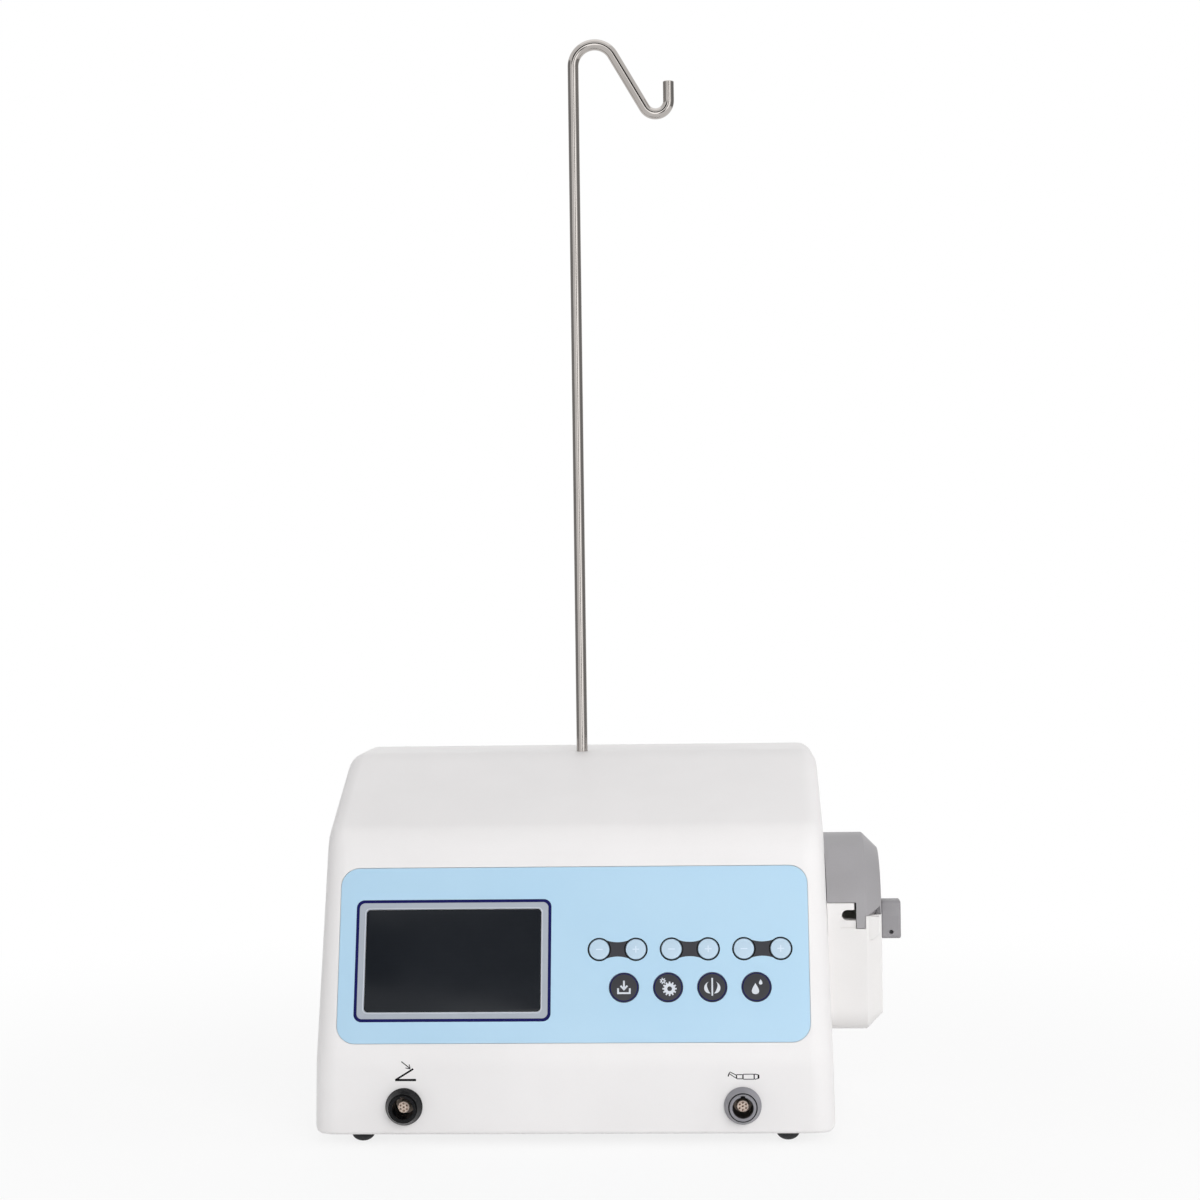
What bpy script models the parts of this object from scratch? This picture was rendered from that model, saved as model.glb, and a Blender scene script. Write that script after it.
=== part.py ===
"""Control console of a dental motor, with an irrigation pump on its side and a bag pole.

Sizes are in metres, +Z up, and the front faces -Y. The body is laid out from a zero on the floor,
under the middle of its front face. One empty then shifts the whole assembly, so that the origin
is the middle of the object's footprint.
"""

import math

import bmesh
import bpy
import numpy as np
from mathutils import Matrix, Vector

# Fits
SEAT_GAP = 0.0003  # between faces that rest on each other
RUN_GAP = 0.0003  # between a pin or a stem and its hole
CUT_OVERRUN = 0.002  # how far a cutting solid runs past the face it opens

# Fineness of round shapes
ARC_STEPS = 4
SIDE_STEPS = 5
BEND_STEPS = 9
SMALL_SIDES = 10
ROUND_SIDES = 16
WIDE_SIDES = 20
ARCH_STEPS = 16

# Body shell: side profile, wall and edge rounding
BODY_WIDTH = 0.2754
BODY_DEPTH = 0.195
BODY_HEIGHT = 0.193
WALL = 0.003
SIDE_DRAFT = math.radians(1.1)
BAND_HEIGHT = 0.039
PANEL_LENGTH = 0.1223
PANEL_TILT = math.radians(18.15)
SLOPE = math.radians(24.5)
KNEE_RADIUS = 0.030
RIDGE_RADIUS = 0.022
CROWN_RADIUS = 0.025
REAR_RADIUS = 0.012
SKIRT_RADIUS = 0.002
SIDE_ROUND_FRONT = 0.013
SIDE_ROUND_TOP = 0.016
SIDE_ROUND_REAR = 0.006
SIDE_ROUND_SKIRT = 0.0045

# Base plate, feet and screws
BASE_THICKNESS = 0.003
FOOT_HEIGHT = 0.006
FOOT_RADIUS = 0.0061
FOOT_PAD_RADIUS = 0.0045
FOOT_STEM_RADIUS = 0.0022
FOOT_X = 0.1128
FOOT_INSET_FRONT = 0.015
FOOT_INSET_REAR = 0.020
SCREW_RADIUS = 0.0015
SCREW_HEAD_RADIUS = 0.0028
SCREW_HEAD_HEIGHT = 0.0016
BASE_SCREW_LENGTH = 0.012
BASE_SCREW_INSET = 0.0097
BASE_SCREW_MARGIN = 0.032
POST_HALF_WIDTH = 0.0045
POST_HEIGHT = 0.022
STANDOFF_RADIUS = 0.003
STANDOFF_HEIGHT = 0.008

# Front panel: overlay, display and keys, placed from the knee line up the tilted face
OVERLAY_WIDTH = 0.250
OVERLAY_HEIGHT = 0.0939
OVERLAY_CENTRE = 0.0560
OVERLAY_CORNER = 0.0097
OVERLAY_THICKNESS = 0.0006
WINDOW_WIDTH = 0.0937
WINDOW_HEIGHT = 0.0547
WINDOW_CORNER = 0.002
WINDOW_X = -0.064
WINDOW_CENTRE = 0.053
WINDOW_LEDGE = 0.002
DISPLAY_WIDTH = 0.1055
DISPLAY_HEIGHT = 0.0672
DISPLAY_THICKNESS = 0.004
STEP_KEY_RADIUS = 0.0053
STEP_KEY_SPACING = 0.01945
STEP_KEY_PITCH = 0.03836
STEP_KEY_ROW = 0.0583
ROUND_KEY_RADIUS = 0.0077
ROUND_KEY_PITCH = 0.02332
ROUND_KEY_ROW = 0.0380
KEY_FIELD_X = 0.0621
KEY_CROWN = 0.0004
KEY_FLANGE = 0.0015
KEY_FLANGE_THICKNESS = 0.001
KEY_STEM_RADIUS = 0.002
KEY_STEM_LENGTH = 0.0017
KEY_TRAVEL = 0.0005
SWITCH_DOME_HEIGHT = 0.0015
SWITCH_DOME_RADIUS = 0.0025
KEY_BOARD_WIDTH = 0.120
KEY_BOARD_HEIGHT = 0.046
KEY_BOARD_CENTRE = 0.0485
BOARD_THICKNESS = 0.0016
KEY_POST_RADIUS = 0.0025
KEY_POST_MARGIN = 0.0035

# Round sockets in the front band
SOCKET_X = 0.089
SOCKET_Z = 0.021
SOCKET_FLANGE_RADIUS = 0.0098
SOCKET_FLANGE_THICKNESS = 0.0012
SOCKET_REACH = 0.0070
SOCKET_NOSE_RADIUS = 0.0071
SOCKET_BORE_RADIUS = 0.0054
SOCKET_BARREL_RADIUS = 0.0070
SOCKET_BARREL_LENGTH = 0.014
SOCKET_LIP = 0.0017
SOCKET_LIP_RADIUS = 0.0040
SOCKET_NUT_RADIUS = 0.0098
SOCKET_NUT_THICKNESS = 0.003
INSERT_TOWER_RADIUS = 0.0030
INSERT_TOWER_DEPTH = 0.0005
INSERT_BASE_THICKNESS = 0.004
INSERT_TAIL_LENGTH = 0.003

# Bag pole and what it stands in
POLE_DIAMETER = 0.00635
POLE_Y = 0.128
POLE_CREST = 0.6047
POLE_DEPTH = 0.060
CROOK_RADIUS = 0.0123
CROOK_SLANT = math.radians(59.8)
SLANT_LENGTH = 0.0354
HOOK_RADIUS = 0.00745
HOOK_TIP = 0.0111
ROD_RESOLUTION = 4
BUSH_WALL = 0.0017
BUSH_FLOOR = 0.0015
POLE_SOCKET_WALL = 0.0025
POLE_SOCKET_FLANGE_RADIUS = 0.011
POLE_SOCKET_FLANGE_THICKNESS = 0.0025
POLE_BOSS_DEPTH = 0.004

# Boards, power supply and wiring on the base plate
MAIN_BOARD_WIDTH = 0.150
MAIN_BOARD_DEPTH = 0.068
MAIN_BOARD_X = 0.005
MAIN_BOARD_Y = 0.066
BOARD_HOLE_MARGIN = 0.006
CHIP_SIZE = 0.013
CHIP_HEIGHT = 0.004
SUPPLY_WIDTH = 0.110
SUPPLY_DEPTH = 0.056
SUPPLY_HEIGHT = 0.034
SUPPLY_X = -0.064
SUPPLY_Y = 0.136
RIBBON_WIDTH = 0.020
RIBBON_THICKNESS = 0.0005
RIBBON_X = -0.040
RIBBON_SLACK = 0.026
LEAD_DIAMETER = 0.004
LEAD_INSET = 0.0165
LEAD_SLACK = 0.022

# Rear panel
REAR_OPENING_WIDTH = 0.176
REAR_OPENING_HEIGHT = 0.070
REAR_CENTRE_Z = 0.062
REAR_PANEL_MARGIN = 0.007
REAR_PANEL_THICKNESS = 0.002
REAR_PANEL_CORNER = 0.004
PANEL_SCREW_LENGTH = 0.010
VENT_WIDTH = 0.003
VENT_HEIGHT = 0.040
VENT_PITCH = 0.008
VENT_COUNT = 7
VENT_X = -0.040

# Mains inlet with its fuse drawer, placed on the rear panel
INLET_X = 0.058
INLET_WIDTH = 0.031
INLET_HEIGHT = 0.042
INLET_CORNER = 0.003
INLET_FLANGE = 0.0022
INLET_RIM = 0.002
INLET_DEPTH = 0.022
COUPLER_WIDTH = 0.0246
COUPLER_HEIGHT = 0.0166
COUPLER_BEVEL = 0.0045
COUPLER_DEPTH = 0.016
COUPLER_RISE = 0.0085
MAINS_PIN_WIDTH = 0.002
MAINS_PIN_HEIGHT = 0.004
MAINS_PIN_LENGTH = 0.010
MAINS_PIN_SPACING = 0.007
EARTH_PIN_RISE = 0.003
LIVE_PIN_DROP = 0.0015
FUSE_WIDTH = 0.022
FUSE_HEIGHT = 0.009
FUSE_DEPTH = 0.017
FUSE_DROP = 0.0125
FUSE_FACE = 0.0014
FUSE_FACE_MARGIN = 0.0009

# Mains switch, placed on the rear panel
SWITCH_X = 0.018
SWITCH_WIDTH = 0.021
SWITCH_HEIGHT = 0.030
SWITCH_CORNER = 0.002
SWITCH_FLANGE = 0.0022
SWITCH_RIM = 0.0015
SWITCH_DEPTH = 0.016
SWITCH_WELL_DEPTH = 0.012
ROCKER_WIDTH = 0.0119
ROCKER_LENGTH = 0.0208
ROCKER_TILT = math.radians(8)
ROCKER_PROUD = 0.003
ROCKER_HOLLOW = 0.001
ROCKER_KEEL = 0.005
ROCKER_KEEL_LENGTH = 0.008
ROCKER_PIVOT_DEPTH = 0.001
ROCKER_PIN_RADIUS = 0.0012
ROCKER_PIN_LENGTH = 0.0015

# Irrigation pump: housing and cover share one arched outline about the rotor axis
PUMP_Y = 0.085
PUMP_Z = 0.110
PUMP_RADIUS = 0.045
PUMP_BOTTOM = 0.052
PUMP_BOTTOM_CORNER = 0.012
PUMP_CHAMFER = 0.0085
PUMP_WALL = 0.003
PUMP_SIDE_WALL = 0.0055
PUMP_SPLIT = 0.0114
TUBE_ROOM = 0.0035  # squeezed tube between the rollers and the track
CHAMBER_WIDTH = 0.021
COVER_SIDE_GAP = 0.0005
LEG_WIDTH = 0.0048
LEG_DROP = 0.0137
LEG_THICKNESS = 0.0043
APRON_DROP = 0.0070
APRON_DEPTH = 0.035
COVER_OVERLAP = 0.001
SLOT_START = 0.0047
SLOT_WIDTH = 0.0078
SLOT_HEIGHT = 0.0057
SLOT_RISE = 0.0047
RECESS_DEPTH = 0.001
RECESS_HEIGHT = 0.0042
BOSS_WIDTH = 0.0077
BOSS_HEIGHT = 0.0125
BOSS_SLANT = 0.003
BOSS_SETBACK = 0.001
BOSS_DEPTH = 0.012

# Cover hinge behind the pump
HINGE_BACK = 0.003
HINGE_ROOT = 0.010
HINGE_INSET = 0.0011
HINGE_MIDDLE = 0.0108
HINGE_WEB_HEIGHT = 0.006
KNUCKLE_RADIUS = 0.004
KNUCKLE_WIDTH = 0.0052
PIN_RADIUS = 0.0015

# Latch lever on the pump's outer side
LEVER_Y = 0.062
LEVER_Z = 0.1036
LEVER_THICKNESS = 0.0105
LEVER_DEPTH = 0.014
LEVER_RISE = 0.0168
LEVER_DROP = 0.0036
LEVER_CORNER = 0.0025
SPINDLE_RADIUS = 0.0028
SPINDLE_LENGTH = 0.003
SET_SCREW_RADIUS = 0.00075
SET_SCREW_LENGTH = 0.004
SET_SCREW_DEPTH = 0.001

# Pump drive
ROLLER_COUNT = 3
ROLLER_RADIUS = 0.007
ROLLER_PITCH = 0.025
ROTOR_EDGE = 0.004  # from the roller pins' circle to the rotor's rim
ROTOR_WIDTH = 0.017
ROTOR_PLATE = 0.0026
HUB_RADIUS = 0.008
ROLLER_PIN_RADIUS = 0.002
SHAFT_RADIUS = 0.003
SHAFT_SOCKET = 0.010
SHAFT_HOLE_ROOM = 0.003
GEARBOX_RADIUS = 0.0185
GEARBOX_LENGTH = 0.025
MOTOR_RADIUS = 0.015
MOTOR_LENGTH = 0.040

# Places worked out from the sizes above
HALF_WIDTH = BODY_WIDTH / 2
BODY_BOTTOM = FOOT_HEIGHT
BODY_TOP = BODY_BOTTOM + BODY_HEIGHT
KNEE_Z = BODY_BOTTOM + BAND_HEIGHT
RIDGE_Y = PANEL_LENGTH * math.sin(PANEL_TILT)
RIDGE_Z = KNEE_Z + PANEL_LENGTH * math.cos(PANEL_TILT)
CROWN_Y = RIDGE_Y + (BODY_TOP - RIDGE_Z) / math.tan(SLOPE)
BASE_TOP = BODY_BOTTOM + BASE_THICKNESS
POST_X = HALF_WIDTH - BASE_SCREW_INSET
POCKET_DEPTH = OVERLAY_THICKNESS + SEAT_GAP
KEY_FLANGE_TOP = -WALL - SEAT_GAP
KEY_STEM_END = KEY_FLANGE_TOP - KEY_FLANGE_THICKNESS - KEY_STEM_LENGTH
DOME_TOP = KEY_STEM_END - KEY_TRAVEL - SEAT_GAP
KEY_BOARD_TOP = DOME_TOP - SWITCH_DOME_HEIGHT
POLE_RADIUS = POLE_DIAMETER / 2
POLE_BOSS_END = -WALL - POLE_BOSS_DEPTH
MAIN_BOARD_Z = BASE_TOP + STANDOFF_HEIGHT + SEAT_GAP
BOARD_TOP = MAIN_BOARD_Z + BOARD_THICKNESS
SOCKET_TAIL_END = SOCKET_BARREL_LENGTH + INSERT_TAIL_LENGTH
REAR_SEAT = SEAT_GAP + REAR_PANEL_THICKNESS + SEAT_GAP
SPLIT_Z = PUMP_Z + PUMP_SPLIT
HINGE_Y = PUMP_Y + PUMP_RADIUS + HINGE_BACK
ROTOR_RADIUS = ROLLER_PITCH + ROTOR_EDGE
TRACK_RADIUS = ROLLER_PITCH + ROLLER_RADIUS + TUBE_ROOM


def side_x(height):
    """Half the body's width at a height, because the sides lean in by the mould's draft."""
    return HALF_WIDTH - math.tan(SIDE_DRAFT) * (height - BODY_BOTTOM)


PUMP_FACE = side_x(PUMP_Z) + SEAT_GAP
PUMP_FRONT = PUMP_Y - PUMP_RADIUS
CHAMBER_INNER = PUMP_FACE + PUMP_WALL
CHAMBER_OUTER = CHAMBER_INNER + CHAMBER_WIDTH
PUMP_OUTER = CHAMBER_OUTER + PUMP_SIDE_WALL
SLOT_X = CHAMBER_INNER + SLOT_START
SLOT_Z = PUMP_Z + SLOT_RISE
LEG_X = SLOT_X + SLOT_WIDTH
APRON_X = LEG_X + LEG_WIDTH
LEVER_X = PUMP_OUTER + SEAT_GAP
ROTOR_X = CHAMBER_INNER + (CHAMBER_WIDTH - ROTOR_WIDTH) / 2
MOTOR_FACE = side_x(PUMP_Z + GEARBOX_RADIUS) - WALL - SEAT_GAP
ROCKER_PIVOT = REAR_SEAT + SWITCH_FLANGE - ROCKER_PIVOT_DEPTH
ROCKER_RISE = ROCKER_PROUD * math.cos(ROCKER_TILT) + ROCKER_LENGTH / 2 * math.sin(ROCKER_TILT)
ROCKER_SWEEP = ROCKER_LENGTH / 2 * math.cos(ROCKER_TILT) + ROCKER_PROUD * math.sin(ROCKER_TILT)

# Furthest reach of the whole assembly, for the middle of its footprint
LEFT_REACH = side_x(BODY_BOTTOM + SIDE_ROUND_SKIRT)
RIGHT_REACH = LEVER_X + LEVER_THICKNESS
FRONT_REACH = SEAT_GAP + SOCKET_REACH
REAR_REACH = BODY_DEPTH + ROCKER_PIVOT + ROCKER_RISE

# Turns that lay a shape's own Z along another direction
TO_FRONT = Matrix.Rotation(math.pi / 2, 4, "X")
TO_RIGHT = Matrix.Rotation(math.pi / 2, 4, "Y")
UPSIDE_DOWN = Matrix.Rotation(math.pi, 4, "X")
# An outline in Y and Z that is carried along X
SIDE_ON = Matrix(((0, 0, 1, 0), (1, 0, 0, 0), (0, 1, 0, 0), (0, 0, 0, 1)))

# Colour as sRGB hex, roughness and metallic value
FINISHES = {
    "white_shell": ("EDECEE", 0.42, 0.0),
    "grey_shell": ("A3A1A4", 0.45, 0.0),
    "lever_grey": ("929093", 0.45, 0.0),
    "blue_film": ("C0DDF6", 0.35, 0.0),
    "pale_key": ("C9DDF2", 0.35, 0.0),
    "dark_key": ("3C3C41", 0.40, 0.0),
    "screen_glass": ("22252A", 0.08, 0.0),
    "black_ring": ("060A0C", 0.30, 0.0),
    "grey_ring": ("8D8C92", 0.35, 0.8),
    "contact_block": ("8A8176", 0.50, 0.0),
    "steel": ("B9B8B6", 0.25, 1.0),
    "plated": ("C4C4C0", 0.35, 1.0),
    "rubber": ("17171A", 0.80, 0.0),
    "nylon": ("E4E2DA", 0.50, 0.0),
    "black_nylon": ("1B1B1E", 0.50, 0.0),
    "green_board": ("1E5A38", 0.50, 0.0),
    "aluminium": ("B4B6B8", 0.40, 1.0),
    "flat_cable": ("D9D4C4", 0.50, 0.0),
    "grey_lead": ("6E7074", 0.60, 0.0),
}

# Corners of the base, with the signs of their X and Y
CORNERS = {"front_left": (-1, -1), "front_right": (1, -1), "rear_left": (-1, 1), "rear_right": (1, 1)}


def clear_scene():
    """Removes what is in the scene."""
    for thing in list(bpy.data.objects):
        bpy.data.objects.remove(thing)


def linear(hex_colour):
    """Linear red, green and blue of an sRGB hex colour."""
    channels = [int(hex_colour[i : i + 2], 16) / 255 for i in (0, 2, 4)]
    return [c / 12.92 if c <= 0.04045 else ((c + 0.055) / 1.055) ** 2.4 for c in channels]


def material(name, finish):
    """A piece's own material in one of the finishes."""
    colour, roughness, metallic = FINISHES[finish]
    made = bpy.data.materials.new(name + "_finish")
    made.use_nodes = True
    shader = made.node_tree.nodes["Principled BSDF"]
    shader.inputs["Base Color"].default_value = (*linear(colour), 1)
    shader.inputs["Roughness"].default_value = roughness
    shader.inputs["Metallic"].default_value = metallic
    return made


def placed(thing, parent, location=(0, 0, 0), rotation=(0, 0, 0)):
    """Puts an object in the scene, under its parent."""
    bpy.context.scene.collection.objects.link(thing)
    thing.parent = parent
    thing.location = location
    thing.rotation_euler = rotation
    return thing


def mesh_object(name, shape, parent, location, rotation):
    """An object of a shape, its faces turned outwards and its round faces smooth."""
    bmesh.ops.recalc_face_normals(shape, faces=shape.faces)
    mesh = bpy.data.meshes.new(name)
    shape.to_mesh(mesh)
    shape.free()
    mesh.shade_smooth()
    mesh.set_sharp_from_angle(angle=math.radians(35))
    return placed(bpy.data.objects.new(name, mesh), parent, location, rotation)


def piece(name, shape, finish, parent, location=(0, 0, 0), rotation=(0, 0, 0)):
    """One physical piece of the console."""
    made = mesh_object(name, shape, parent, location, rotation)
    made.data.materials.append(material(name, finish))
    return made


def helper(name, shape, parent, location=(0, 0, 0), rotation=(0, 0, 0)):
    """A solid that only shapes other pieces."""
    made = mesh_object(name, shape, parent, location, rotation)
    made.hide_render = True
    made.display_type = "WIRE"
    return made


def combine(target, tool, operation):
    """Adds a Boolean with a helper to a piece."""
    modifier = target.modifiers.new(tool.name, "BOOLEAN")
    modifier.operation = operation
    modifier.solver = "EXACT"
    modifier.object = tool


def rod_object(name, route, radius, finish, parent, location=(0, 0, 0)):
    """A round rod or cord along a line of points."""
    path = bpy.data.curves.new(name, "CURVE")
    path.dimensions = "3D"
    path.bevel_depth = radius
    path.bevel_resolution = ROD_RESOLUTION
    path.use_fill_caps = True
    spline = path.splines.new("POLY")
    spline.points.add(len(route) - 1)
    for point, place in zip(spline.points, route):
        point.co = (*place, 1)
    path.materials.append(material(name, finish))
    return placed(bpy.data.objects.new(name, path), parent, location)


def at(x, y, z):
    """A move to a place."""
    return Matrix.Translation((x, y, z))


def add_loft(shape, sections):
    """A closed solid through outlines of the same number of points."""
    rows = [[shape.verts.new(point) for point in section] for section in sections]
    count = len(rows[0])
    for near, far in zip(rows, rows[1:]):
        for i in range(count):
            j = (i + 1) % count
            shape.faces.new((near[i], near[j], far[j], far[i]))
    shape.faces.new(rows[0])
    shape.faces.new(rows[-1])


def add_prism(shape, outline, low, high, place=Matrix()):
    """A flat outline carried along its own Z, then turned and moved to its place."""
    sections = [[place @ Vector((*point, level)) for point in outline] for level in (low, high)]
    add_loft(shape, sections)


def add_box(shape, low, high):
    """A box between two corners."""
    outline = ((low[0], low[1]), (high[0], low[1]), (high[0], high[1]), (low[0], high[1]))
    add_prism(shape, outline, low[2], high[2])


def add_turned(shape, profile, sides, place=Matrix()):
    """A profile of radius and height spun about its own Z. It is a ring, or ends on the axis twice."""
    before = set(shape.verts)
    points = [shape.verts.new((radius, 0, height)) for radius, height in profile]
    edges = [shape.edges.new(pair) for pair in zip(points, points[1:])]
    if profile[0][0] > 0:
        edges.append(shape.edges.new((points[-1], points[0])))
    turn = 2 * math.pi
    bmesh.ops.spin(shape, geom=points + edges, axis=(0, 0, 1), angle=turn, steps=sides, use_merge=True)
    bmesh.ops.remove_doubles(shape, verts=[v for v in shape.verts if v not in before], dist=1e-7)
    bmesh.ops.transform(shape, matrix=place, verts=[v for v in shape.verts if v not in before])


def add_rod(shape, radius, low, high, sides, place=Matrix()):
    """A round bar along its own Z."""
    add_turned(shape, ((0, high), (radius, high), (radius, low), (0, low)), sides, place)


def rounded(corners, radii):
    """An outline whose corners are arcs, each of its own radius."""
    outline = []
    for index, corner in enumerate(corners):
        here = Vector(corner)
        back = (Vector(corners[index - 1]) - here).normalized()
        ahead = (Vector(corners[(index + 1) % len(corners)]) - here).normalized()
        half = back.angle(ahead) / 2
        middle = here + (back + ahead).normalized() * (radii[index] / math.sin(half))
        start = here + back * (radii[index] / math.tan(half)) - middle
        end = here + ahead * (radii[index] / math.tan(half)) - middle
        sweep = math.pi - 2 * half
        for share in np.linspace(0, 1, ARC_STEPS + 1):
            arm = start * math.sin((1 - share) * sweep) + end * math.sin(share * sweep)
            outline.append(middle + arm / math.sin(sweep))
    return outline


def rectangle(width, height, radius, centre=(0, 0)):
    """A rectangle about its centre, with round corners."""
    signs = ((-1, -1), (1, -1), (1, 1), (-1, 1))
    corners = [(centre[0] + i * width / 2, centre[1] + j * height / 2) for i, j in signs]
    return rounded(corners, [radius] * len(corners))


def bezier(start, leave, arrive, end):
    """Points on a smooth bend that leaves the start and arrives at the end along their handles."""
    share = np.linspace(0, 1, BEND_STEPS + 1)[:, None]
    rest = 1 - share
    bend = 3 * rest**2 * share * np.array(leave) + 3 * rest * share**2 * np.array(arrive)
    return rest**3 * np.array(start) + bend + share**3 * np.array(end)


def profile_corners(insets):
    """Corners of the body's side profile in Y and Z, with each edge moved inwards by its own inset.

    The edges are the band, the tilted panel, the slope, the top, the rear and the underside.
    """
    corners = np.array(
        [
            (0, BODY_BOTTOM),
            (0, KNEE_Z),
            (RIDGE_Y, RIDGE_Z),
            (CROWN_Y, BODY_TOP),
            (BODY_DEPTH, BODY_TOP),
            (BODY_DEPTH, BODY_BOTTOM),
        ]
    )
    along = np.roll(corners, -1, axis=0) - corners
    along /= np.linalg.norm(along, axis=1, keepdims=True)
    inwards = np.stack([along[:, 1], -along[:, 0]], axis=1)
    reach = (inwards * corners).sum(axis=1) + insets
    pairs = [(index - 1, index) for index in range(len(corners))]
    return [np.linalg.solve(inwards[list(pair)], reach[list(pair)]) for pair in pairs]


def body_sections(shrink, drop):
    """Outlines of the body across its width, with its sides rounded and leaning in.

    Every face moves inwards by the shrink. With a drop, the underside moves down by it instead.
    """
    edge_rounds = (
        SIDE_ROUND_FRONT,
        SIDE_ROUND_FRONT,
        SIDE_ROUND_TOP,
        SIDE_ROUND_TOP,
        SIDE_ROUND_REAR,
        SIDE_ROUND_SKIRT,
    )
    corner_radii = np.array(
        (SKIRT_RADIUS, KNEE_RADIUS, RIDGE_RADIUS, CROWN_RADIUS, REAR_RADIUS, SKIRT_RADIUS)
    )
    rounds = np.maximum(np.array(edge_rounds) - shrink, 0)
    if drop:
        rounds[-1] = 0
    half = HALF_WIDTH - shrink
    widest = rounds.max()
    out = half - widest + widest * np.sin(np.linspace(0, math.pi / 2, SIDE_STEPS + 1))
    sections = []
    for x in np.concatenate([-out[::-1], out]):
        past = np.clip(abs(x) - (half - rounds), 0, rounds)
        insets = shrink + rounds - np.sqrt(rounds**2 - past**2)
        if drop:
            insets[-1] = -drop
        least = np.maximum(np.minimum(insets, np.roll(insets, 1)), 0)
        radii = np.maximum(corner_radii - least, SKIRT_RADIUS / 2)
        outline = rounded(profile_corners(insets), radii)
        sections.append([(x * side_x(z) / HALF_WIDTH, y, z) for y, z in outline])
    return sections


def panel_keys():
    """Each key's name, place on the panel, radius and finish."""
    keys = []
    for column, setting in enumerate(("program", "speed", "torque")):
        for side, step in ((-1, "down"), (1, "up")):
            x = KEY_FIELD_X + (column - 1) * STEP_KEY_PITCH + side * STEP_KEY_SPACING / 2
            keys.append((f"{setting}_{step}_key", x, STEP_KEY_ROW, STEP_KEY_RADIUS, "pale_key"))
    for column, setting in enumerate(("memory", "gear", "direction", "coolant")):
        x = KEY_FIELD_X + (column - 1.5) * ROUND_KEY_PITCH
        keys.append((f"{setting}_key", x, ROUND_KEY_ROW, ROUND_KEY_RADIUS, "dark_key"))
    return keys


def key_post_places():
    """Where posts behind the panel carry the key board."""
    x = KEY_BOARD_WIDTH / 2 - KEY_POST_MARGIN
    y = KEY_BOARD_HEIGHT / 2 - KEY_POST_MARGIN
    return [(KEY_FIELD_X + i * x, KEY_BOARD_CENTRE + j * y) for i in (-1, 1) for j in (-1, 1)]


def base_screw_place(signs):
    """Where a base screw stands."""
    y = BASE_SCREW_MARGIN if signs[1] < 0 else BODY_DEPTH - BASE_SCREW_MARGIN
    return signs[0] * POST_X, y


def panel_screw_places():
    """Where the rear panel's screws stand, from the panel's middle."""
    x = (REAR_OPENING_WIDTH + REAR_PANEL_MARGIN) / 2
    y = (REAR_OPENING_HEIGHT + REAR_PANEL_MARGIN) / 2
    return [(i * x, j * y) for j in (1, -1) for i in (-1, 1)]


def board_hole_places():
    """Where standoffs carry the main board."""
    x = MAIN_BOARD_WIDTH / 2 - BOARD_HOLE_MARGIN
    y = MAIN_BOARD_DEPTH / 2 - BOARD_HOLE_MARGIN
    return [(MAIN_BOARD_X + i * x, MAIN_BOARD_Y + j * y) for i in (-1, 1) for j in (-1, 1)]


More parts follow.
